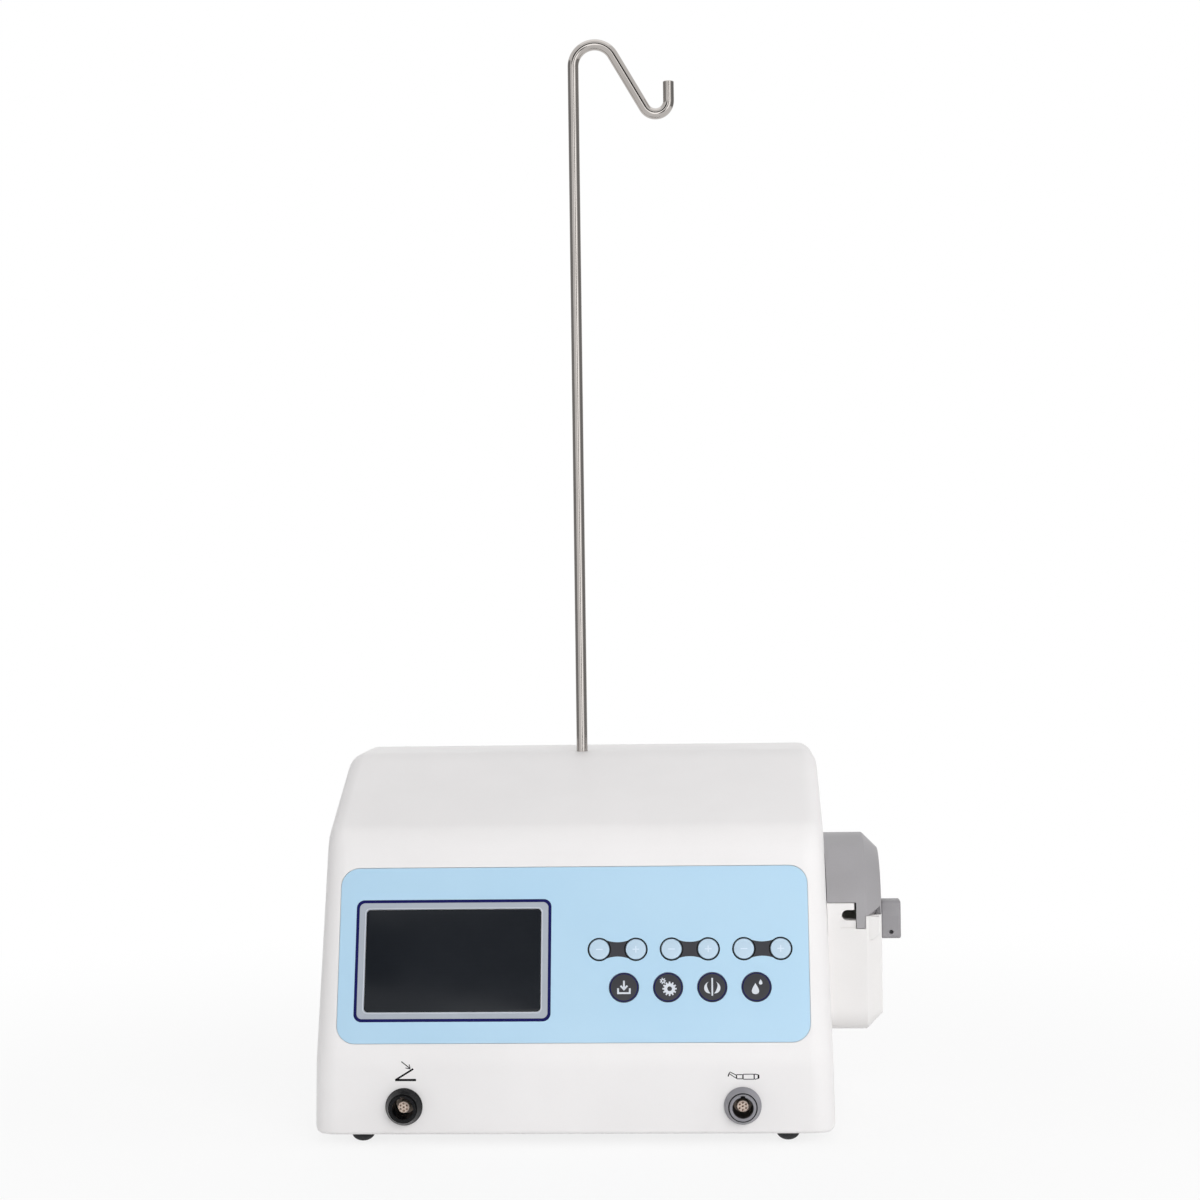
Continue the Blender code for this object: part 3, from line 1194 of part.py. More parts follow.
def hinge_hole(name, frame):
    """The hole for the hinge pin through all three eyes."""
    shape = bmesh.new()
    spans = hinge_spans()
    low = spans[0][0] - RUN_GAP
    high = spans[2][1] + CUT_OVERRUN
    add_rod(shape, PIN_RADIUS + RUN_GAP, low, high, SMALL_SIDES, at(0, HINGE_Y, SPLIT_Z) @ TO_RIGHT)
    return helper(name, shape, frame)


def pump_chamber(frame):
    """The round chamber that the rotor turns in."""
    shape = bmesh.new()
    place = at(0, PUMP_Y, PUMP_Z) @ TO_RIGHT
    add_rod(shape, TRACK_RADIUS, CHAMBER_INNER, CHAMBER_OUTER, 2 * ARCH_STEPS, place)
    return helper("pump_chamber", shape, frame)


def slot_outline():
    """The tube slot seen from the front, in X and Z: round at one end, closed by the leg at the other."""
    radius = SLOT_HEIGHT / 2
    turn = np.linspace(math.pi / 2, 1.5 * math.pi, 2 * ARC_STEPS + 1)
    middle = SLOT_X + radius
    outline = [(middle + radius * math.cos(a), SLOT_Z + radius * math.sin(a)) for a in turn]
    end = LEG_X + SEAT_GAP
    return outline + [(end, SLOT_Z - radius), (end, SLOT_Z + radius)]


def build_pump_housing(frame, chamber):
    """The white lower part of the pump, screwed to the body's side."""
    housing = piece("pump_housing", pump_shape(SEAT_GAP), "white_shell", frame)
    combine(housing, cover_space("cover_clearance", frame, SEAT_GAP), "DIFFERENCE")
    combine(housing, chamber, "DIFFERENCE")

    shape = bmesh.new()
    front = PUMP_FRONT + BOSS_SETBACK
    high = SPLIT_Z - APRON_DROP - 2 * SEAT_GAP
    low = high - BOSS_HEIGHT
    end = APRON_X + BOSS_WIDTH
    bend = APRON_X + BOSS_WIDTH / 2
    outline = ((APRON_X, low), (bend, low), (end, low + BOSS_SLANT), (end, high), (APRON_X, high))
    add_prism(shape, outline, -front - BOSS_DEPTH, -front, TO_FRONT)
    combine(housing, helper("chamfer_boss", shape, frame), "UNION")

    first, _, last = hinge_spans()
    shape = bmesh.new()
    add_prism(shape, hinge_outline(-1), *first, SIDE_ON)
    add_prism(shape, hinge_outline(-1), *last, SIDE_ON)
    combine(housing, helper("housing_eyes", shape, frame), "UNION")
    combine(housing, hinge_hole("housing_pin_hole", frame), "DIFFERENCE")

    shape = bmesh.new()
    near = PUMP_FRONT - CUT_OVERRUN
    add_prism(shape, slot_outline(), -PUMP_Y, -near, TO_FRONT)
    rear = PUMP_Y + PUMP_RADIUS + CUT_OVERRUN
    add_prism(shape, slot_outline(), -rear, -PUMP_Y - CUT_OVERRUN, TO_FRONT)
    place = at(PUMP_FACE, PUMP_Y, PUMP_Z) @ TO_RIGHT
    reach = PUMP_WALL + CUT_OVERRUN
    add_rod(shape, SHAFT_RADIUS + SHAFT_HOLE_ROOM, -CUT_OVERRUN, reach, ROUND_SIDES, place)
    place = at(PUMP_OUTER, LEVER_Y, LEVER_Z) @ TO_RIGHT
    depth = SPINDLE_LENGTH + SEAT_GAP
    add_rod(shape, SPINDLE_RADIUS + RUN_GAP, -depth, CUT_OVERRUN, ROUND_SIDES, place)
    combine(housing, helper("pump_holes", shape, frame), "DIFFERENCE")

    shape = bmesh.new()
    high = SLOT_Z - SLOT_HEIGHT / 2 + SEAT_GAP
    low_corner = (SLOT_X - RECESS_DEPTH, near, high - RECESS_HEIGHT)
    add_box(shape, low_corner, (LEG_X + SEAT_GAP, PUMP_FRONT + RECESS_DEPTH, high))
    combine(housing, helper("slot_recess", shape, frame), "DIFFERENCE")


def build_pump_cover(frame, chamber):
    """The grey cover over the rotor, which swings up about the pin behind the pump."""
    hinge = (0, HINGE_Y, SPLIT_Z)
    shape = pump_shape(COVER_SIDE_GAP)
    bmesh.ops.translate(shape, vec=-Vector(hinge), verts=shape.verts)
    cover = piece("pump_cover", shape, "grey_shell", frame, hinge)
    combine(cover, cover_space("cover_space", frame, 0), "INTERSECT")
    combine(cover, chamber, "DIFFERENCE")
    shape = bmesh.new()
    add_prism(shape, hinge_outline(1), *hinge_spans()[1], SIDE_ON)
    combine(cover, helper("cover_eye", shape, frame), "UNION")
    combine(cover, hinge_hole("cover_pin_hole", frame), "DIFFERENCE")

    first, _, last = hinge_spans()
    shape = bmesh.new()
    add_rod(shape, PIN_RADIUS, first[0], last[1], SMALL_SIDES, TO_RIGHT)
    piece("cover_pin", shape, "steel", frame, hinge)


def build_latch(frame):
    """The lever on the pump's outer side, its spindle and the set screw that locks it."""
    pivot = (LEVER_X, LEVER_Y, LEVER_Z)
    half = LEVER_DEPTH / 2
    corners = ((-half, -LEVER_DROP), (half, -LEVER_DROP), (half, LEVER_RISE), (-half, LEVER_RISE))
    shape = bmesh.new()
    add_prism(shape, rounded(corners, [LEVER_CORNER] * len(corners)), 0, LEVER_THICKNESS, SIDE_ON)
    lever = piece("latch_lever", shape, "lever_grey", frame, pivot)

    shape = bmesh.new()
    add_rod(shape, SPINDLE_RADIUS, -SPINDLE_LENGTH, LEVER_THICKNESS / 4, ROUND_SIDES, TO_RIGHT)
    combine(lever, helper("lever_spindle", shape, frame, pivot), "UNION")

    shape = bmesh.new()
    low = half - SET_SCREW_DEPTH - SET_SCREW_LENGTH
    place = at(LEVER_THICKNESS / 2, 0, 0) @ TO_FRONT
    hole = SET_SCREW_RADIUS + RUN_GAP
    add_rod(shape, hole, low - SEAT_GAP, half + CUT_OVERRUN, SMALL_SIDES, place)
    combine(lever, helper("set_screw_hole", shape, frame, pivot), "DIFFERENCE")

    shape = bmesh.new()
    add_rod(shape, SET_SCREW_RADIUS, low, half - SET_SCREW_DEPTH, SMALL_SIDES, place)
    piece("latch_screw", shape, "black_nylon", frame, pivot)


def build_drive(frame):
    """The rotor with its three rollers, and the gear motor that turns it through the wall."""
    turn = (0, math.pi / 2, 0)
    axis = (ROTOR_X, PUMP_Y, PUMP_Z)
    outer_plate = ROTOR_WIDTH - ROTOR_PLATE
    bore = SHAFT_RADIUS + SEAT_GAP
    profile = (
        (0, SHAFT_SOCKET + SEAT_GAP),
        (bore, SHAFT_SOCKET + SEAT_GAP),
        (bore, 0),
        (ROTOR_RADIUS, 0),
        (ROTOR_RADIUS, ROTOR_PLATE),
        (HUB_RADIUS, ROTOR_PLATE),
        (HUB_RADIUS, outer_plate),
        (ROTOR_RADIUS, outer_plate),
        (ROTOR_RADIUS, ROTOR_WIDTH),
        (0, ROTOR_WIDTH),
    )
    shape = bmesh.new()
    add_turned(shape, profile, 2 * ARCH_STEPS)
    rotor = piece("pump_rotor", shape, "nylon", frame, axis, turn)

    holes = bmesh.new()
    hole = ROLLER_PIN_RADIUS + SEAT_GAP
    low = ROTOR_PLATE + RUN_GAP
    high = outer_plate - RUN_GAP
    ease = RUN_GAP
    ring = (
        (hole, low),
        (ROLLER_RADIUS - ease, low),
        (ROLLER_RADIUS, low + ease),
        (ROLLER_RADIUS, high - ease),
        (ROLLER_RADIUS - ease, high),
        (hole, high),
    )
    for number in range(ROLLER_COUNT):
        angle = math.pi / 2 + 2 * math.pi * number / ROLLER_COUNT
        y = ROLLER_PITCH * math.cos(angle)
        z = ROLLER_PITCH * math.sin(angle)
        place = (ROTOR_X, PUMP_Y + y, PUMP_Z + z)
        spot = at(-z, y, 0)
        add_rod(holes, hole, -CUT_OVERRUN, ROTOR_WIDTH + CUT_OVERRUN, SMALL_SIDES, spot)
        shape = bmesh.new()
        add_turned(shape, ring, ROUND_SIDES)
        piece(f"roller_{number + 1}", shape, "black_nylon", frame, place, turn)
        shape = bmesh.new()
        add_rod(shape, ROLLER_PIN_RADIUS, 0, ROTOR_WIDTH, SMALL_SIDES)
        piece(f"roller_pin_{number + 1}", shape, "steel", frame, place, turn)
    combine(rotor, helper("roller_pin_holes", holes, frame, axis, turn), "DIFFERENCE")

    start = MOTOR_FACE + SEAT_GAP - ROTOR_X
    shape = bmesh.new()
    add_rod(shape, SHAFT_RADIUS, start, SHAFT_SOCKET, ROUND_SIDES)
    piece("rotor_shaft", shape, "steel", frame, axis, turn)

    profile = (
        (0, 0),
        (GEARBOX_RADIUS, 0),
        (GEARBOX_RADIUS, -GEARBOX_LENGTH),
        (MOTOR_RADIUS, -GEARBOX_LENGTH),
        (MOTOR_RADIUS, -GEARBOX_LENGTH - MOTOR_LENGTH),
        (0, -GEARBOX_LENGTH - MOTOR_LENGTH),
    )
    shape = bmesh.new()
    add_turned(shape, profile, WIDE_SIDES)
    piece("pump_motor", shape, "aluminium", frame, (MOTOR_FACE, PUMP_Y, PUMP_Z), turn)


def main():
    """Builds the whole console."""
    clear_scene()
    middle_x = (RIGHT_REACH - LEFT_REACH) / 2
    middle_y = (REAR_REACH - FRONT_REACH) / 2
    frame = placed(bpy.data.objects.new("console_frame", None), None, (-middle_x, -middle_y, 0))
    panel = placed(
        bpy.data.objects.new("panel_frame", None), frame, (0, 0, KNEE_Z), (math.pi / 2 - PANEL_TILT, 0, 0)
    )
    rear = placed(
        bpy.data.objects.new("rear_frame", None),
        frame,
        (0, BODY_DEPTH, REAR_CENTRE_Z),
        (math.pi / 2, 0, math.pi),
    )
    build_housing(frame, panel, rear)
    build_base(frame)
    build_front_panel(panel)
    build_socket("pedal_socket", frame, -SOCKET_X, "black_ring")
    build_socket("motor_socket", frame, SOCKET_X, "grey_ring")
    build_pole(frame)
    build_inside(frame)
    build_rear_panel(rear)
    build_inlet(rear)
    build_switch(rear)
    chamber = pump_chamber(frame)
    build_pump_housing(frame, chamber)
    build_pump_cover(frame, chamber)
    build_latch(frame)
    build_drive(frame)


if __name__ == "__main__":
    main()
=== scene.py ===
"""Looks of a dental motor console with an irrigation pump on its side and a bag pole.

Sizes are in metres. The console's own axes start on the floor under the middle of its front face,
with X to the right, Y to the back and Z up. Each piece is worked out there as grids of points, and
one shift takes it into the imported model's frame.
"""

import logging
import math
from collections.abc import Callable, Iterator, Sequence
from dataclasses import dataclass, replace
from enum import Enum

import bmesh
import bpy
import numpy as np
from mathutils import Matrix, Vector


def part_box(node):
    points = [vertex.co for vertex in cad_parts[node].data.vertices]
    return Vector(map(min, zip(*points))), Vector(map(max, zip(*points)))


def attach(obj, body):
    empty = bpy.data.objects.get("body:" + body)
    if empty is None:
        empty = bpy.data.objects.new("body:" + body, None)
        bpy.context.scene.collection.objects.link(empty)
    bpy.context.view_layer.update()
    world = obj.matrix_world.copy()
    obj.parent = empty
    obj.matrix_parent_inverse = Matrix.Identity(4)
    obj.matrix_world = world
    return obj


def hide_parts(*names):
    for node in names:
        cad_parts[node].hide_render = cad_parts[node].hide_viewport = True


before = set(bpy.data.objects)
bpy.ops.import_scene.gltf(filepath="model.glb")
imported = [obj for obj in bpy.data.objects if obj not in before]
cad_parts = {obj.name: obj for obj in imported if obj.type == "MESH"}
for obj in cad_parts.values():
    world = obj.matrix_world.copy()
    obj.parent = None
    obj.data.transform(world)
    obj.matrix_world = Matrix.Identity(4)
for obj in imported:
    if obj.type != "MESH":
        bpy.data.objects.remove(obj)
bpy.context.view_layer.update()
log = logging.getLogger("console")

Array = np.ndarray
Point = tuple[float, float, float]
Spot = tuple[float, float]
Strokes = tuple[tuple[tuple[Spot, ...], float], ...]
Points = Array | Sequence[Sequence[float]]
Surface = Callable[[Array], Array]
Thing = bpy.types.Object
Tree = bpy.types.NodeTree
Socket = bpy.types.NodeSocket

MM = 0.001
QUARTER = math.pi / 2
# The gap that neighbouring pieces keep, how far a cutter runs past what it cuts, and how far forms
# that become one solid reach into each other.
SEAT = 0.0003
OVERRUN = 0.002
OVERLAP = 0.001
# The face of a print, of one that lies over another and of one that lies under another, and the gap
# that keeps a print off its surface.
INK = 0.00003
OVER_INK = 1.1 * INK
UNDER_INK = 0.8 * INK
INK_GAP = 0.000006
# In a finish: how brushed lines are drawn out, the grain's share beside the cloud, the part of their
# sum that is used, the least roughness and how strongly the relief shows.
BRUSH_STRETCH = (0.03, 1, 1)
GRAIN_SHARE = 0.35
MIX_SPAN = (0.4, 0.95)
LEAST_ROUGHNESS = 0.02
RELIEF = 0.6
# Parts of a corner's arc and of an eased edge, and sides of round pieces by their size.
ARC_STEPS = 12
EASE_STEPS = 4
FINE_SIDES = 96
ROUND_SIDES = 64
MIDDLE_SIDES = 48
SMALL_SIDES = 28
# Corners of a square about its middle, anticlockwise.
SQUARE = np.array(((-1, -1), (1, -1), (1, 1), (-1, 1))) / 2
TILT = math.radians(18.15)
OVERLAY_LOW, OVERLAY_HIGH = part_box("front_overlay")
SHIFT = np.array(((OVERLAY_LOW.x + OVERLAY_HIGH.x) / 2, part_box("upper_housing")[0].y, 0))


class Cut(Enum):
    """What a Boolean does with its tool."""

    ADD = "UNION"
    REMOVE = "DIFFERENCE"
    KEEP = "INTERSECT"


class Lie(Enum):
    """Which way a shape's own X, Y and Z point."""

    UPRIGHT = ((1, 0, 0), (0, 1, 0), (0, 0, 1))
    UPSIDE_DOWN = ((1, 0, 0), (0, -1, 0), (0, 0, -1))
    TO_FRONT = ((1, 0, 0), (0, 0, 1), (0, -1, 0))
    TO_RIGHT = ((0, 0, -1), (0, 1, 0), (1, 0, 0))
    TO_REAR = ((-1, 0, 0), (0, 0, 1), (0, 1, 0))
    SIDE_ON = ((0, 1, 0), (0, 0, 1), (1, 0, 0))
    ON_PANEL = ((1, 0, 0), (0, math.sin(TILT), math.cos(TILT)), (0, -math.cos(TILT), math.sin(TILT)))

    def at(self, x: float = 0.0, y: float = 0.0, z: float = 0.0) -> "Place":
        """The place at a point that lies this way."""
        return Place((x, y, z), self.value)


class Pattern(Enum):
    """How the fine pattern of a finish runs over the surface."""

    GRAIN = "even specks"
    DRAWN = "lines along a rod, from the rod's own attribute"
    TURNED = "rings about a lathe's axis along Y"
    BRUSHED = "lines along X"
    ROWS = "pixel rows of a display"


class Sign(Enum):
    """What is printed on a key."""

    MINUS = "a bar"
    PLUS = "a cross of bars"
    TRAY = "an open tray with an arrow into it"
    GEARS = "two gears"
    CRESCENTS = "a bar between two crescents"
    DROPS = "two drops"


@dataclass(frozen=True)
class Place:
    """Where a shape stands: its origin and the directions of its own X, Y and Z."""

    origin: Point = (0.0, 0.0, 0.0)
    axes: tuple[Point, ...] = Lie.UPRIGHT.value

    def put(self, points: Array | Sequence[float]) -> Array:
        """Points of the shape's own axes, in the console's axes."""
        return np.asarray(points, float) @ np.array(self.axes, float) + np.array(self.origin, float)

    def moved(self, x: float, y: float, z: float = 0.0) -> "Place":
        """The same axes, moved to a point on them."""
        return Place(tuple(self.put((x, y, z))), self.axes)


HERE = Place()


@dataclass(frozen=True)
class Layer:
    """A print: the heights of its underside and its face, and what takes it to its surface."""

    low: float
    high: float
    put: Surface

    def edges(self, left: Array, right: Array, axis: int) -> Array:
        """The four edges of a flat band: low and high on its left, high and low on its right."""
        pairs = ((left, self.low), (left, self.high), (right, self.high), (right, self.low))
        return self.put(np.stack([raised(*pair) for pair in pairs], axis))


def linear(hex_colour: str) -> tuple[float, ...]:
    """Undoes the sRGB curve of a colour.

    Args:
        hex_colour: six hex digits, as sRGB.

    Returns:
        Linear red, green, blue and an alpha of one.
    """
    coded = np.array([int(hex_colour[i : i + 2], 16) for i in (0, 2, 4)]) / 255
    straight = np.where(coded <= 0.04045, coded / 12.92, ((coded + 0.055) / 1.055) ** 2.4)
    return (*straight.tolist(), 1.0)


def add_node(
    tree: Tree, kind: str, inputs: dict[str | int, object] | None = None, **settings: object
) -> bpy.types.Node:
    """Adds a shader node with its settings, its fixed inputs and its links.

    Args:
        tree: the tree that takes the node.
        kind: the node's type, without the words that all shader nodes start with.
        inputs: by name or number, the output that feeds an input, or its fixed value.
        settings: the node's own properties.

    Returns:
        The new node.
    """
    node = tree.nodes.new("ShaderNode" + kind)
    for key, value in settings.items():
        setattr(node, key, value)
    for key, value in (inputs or {}).items():
        if isinstance(value, Socket):
            tree.links.new(value, node.inputs[key])
        else:
            node.inputs[key].default_value = value
    return node


@dataclass(frozen=True)
class Finish:
    """A surface named for its real material.

    Two sRGB colours mix by a fine grain and by a cloud, the slow change of tone that moulding,
    printing and handling leave. The same mix spreads the roughness, and the grain has a relief.
    Drawn widths and depths are in millimetres.
    """

    name: str
    colour: str
    tone: str
    roughness: float
    spread: float
    grain_mm: float
    depth_mm: float
    cloud_mm: float
    slot: str | None = None
    pattern: Pattern = Pattern.GRAIN
    metallic: float = 0.0
    specular: float = 0.5

    def grain_input(self, tree: Tree, spot: Socket, centre: Sequence[float]) -> tuple[Socket, str]:
        """Picks what the grain is read from.

        Args:
            tree: the material's tree.
            spot: the surface's place in the piece's own axes.
            centre: a point on the lathe's axis, for turned rings.

        Returns:
            The socket, and the noise's dimensions that suit it.
        """
        if self.pattern is Pattern.DRAWN:
            return add_node(tree, "Attribute", attribute_name="drawn").outputs["Vector"], "3D"
        if self.pattern is Pattern.BRUSHED:
            stretch = {"Vector": spot, "Scale": BRUSH_STRETCH}
            return add_node(tree, "Mapping", stretch).outputs["Vector"], "3D"
        if self.pattern is Pattern.TURNED:
            flat = {"Vector": spot, "Location": (-centre[0], 0, -centre[2]), "Scale": (1, 0, 1)}
            across = add_node(tree, "Mapping", flat).outputs["Vector"]
            radius = add_node(tree, "VectorMath", {0: across}, operation="LENGTH")
            return radius.outputs["Value"], "1D"
        if self.pattern is Pattern.ROWS:
            return add_node(tree, "SeparateXYZ", {"Vector": spot}).outputs["Z"], "1D"
        return spot, "3D"

    def make(self, centre: Sequence[float] = (0, 0, 0)) -> bpy.types.Material:
        """Builds the material: grain and cloud drive its colour, roughness and relief.

        Args:
            centre: a point on the lathe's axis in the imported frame, for turned rings.

        Returns:
            The material, made once for each finish and centre.
        """
        name = self.name
        if self.pattern is Pattern.TURNED:
            name += f"_{centre[0] / MM:.0f}_{centre[2] / MM:.0f}"
        if name in bpy.data.materials:
            return bpy.data.materials[name]
        made = bpy.data.materials.new(name)
        made.use_nodes = True
        tree = made.node_tree
        shader = tree.nodes["Principled BSDF"]
        shader.inputs["Metallic"].default_value = self.metallic
        shader.inputs["Specular IOR Level"].default_value = self.specular
        spot = add_node(tree, "TexCoord").outputs["Object"]
        source, size = self.grain_input(tree, spot, centre)
        fine = {"Scale": 1 / (self.grain_mm * MM), "Detail": 2.0, "Roughness": 0.5}
        fine["W" if size == "1D" else "Vector"] = source
        grain = add_node(tree, "TexNoise", fine, noise_dimensions=size).outputs["Fac"]
        slow = {"Vector": spot, "Scale": 1 / (self.cloud_mm * MM), "Detail": 3.0, "Roughness": 0.55}
        cloud = add_node(tree, "TexNoise", slow).outputs["Fac"]
        sums = {0: grain, 1: GRAIN_SHARE, 2: cloud}
        both = add_node(tree, "Math", sums, operation="MULTIPLY_ADD").outputs["Value"]
        span = {"Value": both, "From Min": MIX_SPAN[0], "From Max": MIX_SPAN[1]}
        share = add_node(tree, "MapRange", span).outputs["Result"]
        colours = {0: share, 6: linear(self.colour), 7: linear(self.tone)}
        mixed = add_node(tree, "Mix", colours, data_type="RGBA").outputs[2]
        least, most = max(self.roughness - self.spread, LEAST_ROUGHNESS), self.roughness + self.spread
        rough = add_node(tree, "MapRange", span | {"To Min": least, "To Max": most})
        relief = {"Height": grain, "Strength": RELIEF, "Distance": self.depth_mm * MM}
        bump = add_node(tree, "Bump", relief)
        tree.links.new(mixed, shader.inputs["Base Color"])
        tree.links.new(rough.outputs["Result"], shader.inputs["Roughness"])
        tree.links.new(bump.outputs["Normal"], shader.inputs["Normal"])
        return made


# In each finish: colour and second tone, roughness and its spread, then grain width, grain depth and
# cloud width in millimetres.
#
# Moulded ABS: an even spark-eroded grain of about 0.1 mm, drawn 0.6 to 0.7 mm wide so that it shows.
# It takes the gloss off, so light falls away softly round the edges.
WHITE_ABS = Finish("moulded_white_abs", "EFEDED", "EAE8E8", 0.44, 0.05, 0.7, 0.012, 60, "white_shell")
# The pump's housing: a separate, slightly warmer white moulding. It is also drawn darker than the
# housing's white as painted shade, which tones down the stronger light that the lamps put on the pump.
PUMP_ABS_PAINTED_SHADE = replace(WHITE_ABS, name="pump_abs_with_painted_shade", colour="E8E6E5", tone="E3E1E0", cloud_mm=50)
GREY_ABS = Finish("moulded_grey_abs", "A19FA2", "999799", 0.46, 0.05, 0.7, 0.012, 35, "grey_shell")
LEVER_ABS = Finish("moulded_lever_abs", "959396", "8C8A8D", 0.44, 0.05, 0.6, 0.01, 20, "lever_grey")
# Polyester film printed on its back: a fine velvet grain of about 0.05 mm, drawn 0.4 mm wide, gives
# the colour below it an even satin face.
BLUE_FILM = Finish("printed_polyester_film", "B6D7ED", "B0D3EB", 0.36, 0.05, 0.4, 0.004, 70, "blue_film")
PALE_KEY = Finish("pale_key_film", "BDD4E5", "B8D0E3", 0.34, 0.05, 0.4, 0.004, 15, "pale_key")
DARK_KEY = Finish("dark_key_film", "323237", "2C2C31", 0.38, 0.05, 0.4, 0.004, 15, "dark_key")
# Screen inks: a dry layer with pinholes of about 0.05 mm, drawn 0.3 mm wide. They keep a soft,
# slightly uneven tone, and the dark ones hardly shine.
NAVY_INK = Finish("navy_screen_ink", "0B0C4C", "101256", 0.42, 0.06, 0.3, 0.003, 12, specular=0.15)
BLACK_INK = replace(NAVY_INK, name="black_screen_ink", colour="09090B", tone="101012", roughness=0.45)
BRIDGE_INK = Finish("charcoal_screen_ink", "36363C", "303036", 0.42, 0.06, 0.3, 0.003, 10, specular=0.4)
FRAME_INK = Finish("grey_screen_ink", "AAB1BB", "A3AAB4", 0.42, 0.06, 0.3, 0.003, 25)
LIGHT_INK = replace(FRAME_INK, name="light_grey_screen_ink", colour="C6CCD6", tone="BEC4CE")
SILVER_INK = Finish("silver_screen_ink", "D9DEE6", "D0D5DD", 0.38, 0.06, 0.3, 0.003, 8)
PALE_INK = replace(SILVER_INK, name="pale_screen_ink", colour="DAE9F8", tone="D4E5F6")
# Hard-coated acrylic over a dark display: nearly black and smooth, so it mirrors the room dimly, with
# pixel rows of 0.1 mm that are drawn 0.5 mm apart.
SCREEN = Finish(
    "display_acrylic", "1B1E23", "202328", 0.16, 0.04, 0.5, 0.0005, 50,
    "screen_window", Pattern.ROWS, specular=0.18,
)
# Black moulded ring, turned smooth: lathe rings of about 0.05 mm, drawn 0.25 mm wide, stretch the
# small highlights round its axis.
BLACK_RING = Finish(
    "turned_black_ring", "060709", "0D0E11", 0.26, 0.08, 0.25, 0.004, 6,
    "black_ring", Pattern.TURNED, specular=0.16,
)
# Enamelled brass ring: satin grey paint that softens the lathe's rings below it.
GREY_RING = Finish(
    "enamelled_grey_ring", "8B8A90", "838288", 0.4, 0.08, 0.3, 0.006, 6, "grey_ring", Pattern.TURNED
)
# Moulded black nylon sleeve that lines the motor socket's bore. It is drawn nearly black, darker than the
# other black nylon, as painted shade, so the socket reads as a deep hole.
SHADE_SLEEVE = Finish("painted_shade_socket_sleeve", "0B0B0D", "121214", 0.4, 0.06, 0.3, 0.003, 5, "black_nylon")
# Moulded heat-proof thermoplastic: a warm, pale, matt face round the contact holes.
CONTACT = Finish("moulded_contact_block", "F2DFD0", "E8D3C3", 0.5, 0.05, 0.25, 0.004, 3, "contact_block")
# Drawn and polished stainless rod: die lines of about 0.02 mm along its length, drawn 0.3 mm wide,
# break the bright and dark reflections up.
STEEL_ROD = Finish(
    "drawn_stainless_rod", "B9B4B0", "ADA8A4", 0.09, 0.03, 0.3, 0.0008, 30,
    "bright_steel", Pattern.DRAWN, metallic=1.0,
)
# Ground stainless pins: a fine satin grind that blurs what they reflect.
STEEL = Finish(
    "ground_stainless", "BDBAB7", "ADAAA7", 0.24, 0.06, 0.2, 0.002, 10, "bright_steel", metallic=1.0
)
# Zinc-plated steel: a bright plating, slightly cloudy from its bath.
PLATED = Finish(
    "zinc_plated_steel", "C6C6C2", "B4B4B2", 0.32, 0.08, 0.2, 0.004, 6, "plated_steel", metallic=1.0
)
# Moulded black rubber: dull, with a dusty grain of about 0.2 mm, drawn 0.4 mm wide.
RUBBER = Finish("moulded_black_rubber", "18181B", "232326", 0.72, 0.1, 0.4, 0.02, 8, "rubber")
# Moulded nylon: a waxy satin face, pale and creamy where it has no dye, soft black where it has.
PALE_NYLON = Finish("moulded_pale_nylon", "E4E2DA", "DAD7CE", 0.48, 0.06, 0.4, 0.006, 15, "pale_nylon")
BLACK_NYLON = Finish("moulded_black_nylon", "1B1B1E", "242428", 0.46, 0.08, 0.35, 0.008, 15, "black_nylon")
# Glass-fibre circuit board under green lacquer: copper tracks of about 1 mm show through as specks.
BOARD = Finish("lacquered_circuit_board", "1E5A38", "2B6E47", 0.4, 0.08, 1.2, 0.01, 5, "circuit_board")
# Brushed aluminium sheet: brush lines of about 0.1 mm along X, drawn 0.3 mm wide.
ALUMINIUM = Finish(
    "brushed_aluminium", "B6B8BA", "A6A8AA", 0.36, 0.08, 0.3, 0.006, 30,
    "aluminium", Pattern.BRUSHED, metallic=1.0,
)
# Extruded PVC: the soft sheen of cable covers, creamy on the flat cable and grey on the lead.
FLAT_CABLE = Finish("flat_cable_pvc", "D9D4C4", "CCC6B4", 0.5, 0.06, 0.6, 0.01, 10, "flat_cable")
GREY_LEAD = Finish("grey_lead_pvc", "6E7074", "64666A", 0.58, 0.06, 0.5, 0.01, 10, "grey_lead")


def unit(vectors: Array) -> Array:
    """Vectors of length one along the last axis."""
    return vectors / np.linalg.norm(vectors, axis=-1, keepdims=True)


def rounded(corners: Array, radii: Array | float, steps: int = ARC_STEPS) -> Array:
    """Replaces each corner of closed outlines by an arc.

    The arc's middle lies on the corner's bisector, at its radius over the sine of half the corner's
    angle. Its points swing between the two tangent points by weights of sines.

    Args:
        corners: corner points, shaped (..., corners, 2).
        radii: a radius for each corner, or one for all.
        steps: parts of each arc.

    Returns:
        The outlines' points, shaped (..., corners times (steps + 1), 2).
    """
    corners = np.asarray(corners, float)
    reach = np.broadcast_to(np.asarray(radii, float), corners.shape[:-1])[..., None]
    back = unit(np.roll(corners, 1, -2) - corners)
    ahead = unit(np.roll(corners, -1, -2) - corners)
    half = np.arccos(np.clip((back * ahead).sum(-1, keepdims=True), -1, 1)) / 2
    middle = corners + unit(back + ahead) * reach / np.sin(half)
    start = corners + back * reach / np.tan(half) - middle
    end = corners + ahead * reach / np.tan(half) - middle
    sweep = math.pi - 2 * half
    share = np.linspace(0, 1, steps + 1)
    first = (np.sin((1 - share) * sweep) / np.sin(sweep))[..., None]
    last = (np.sin(share * sweep) / np.sin(sweep))[..., None]
    arcs = middle[..., None, :] + first * start[..., None, :] + last * end[..., None, :]
    return arcs.reshape(*corners.shape[:-2], -1, 2)


def rectangle(
    width: float, height: float, radius: float, centre: Sequence[float] = (0, 0), grow: float = 0.0
) -> Array:
    """A rectangle about its centre, with its sides moved out by a gap and with round corners."""
    return rounded(np.array(centre) + SQUARE * (np.array((width, height)) + 2 * grow), radius)


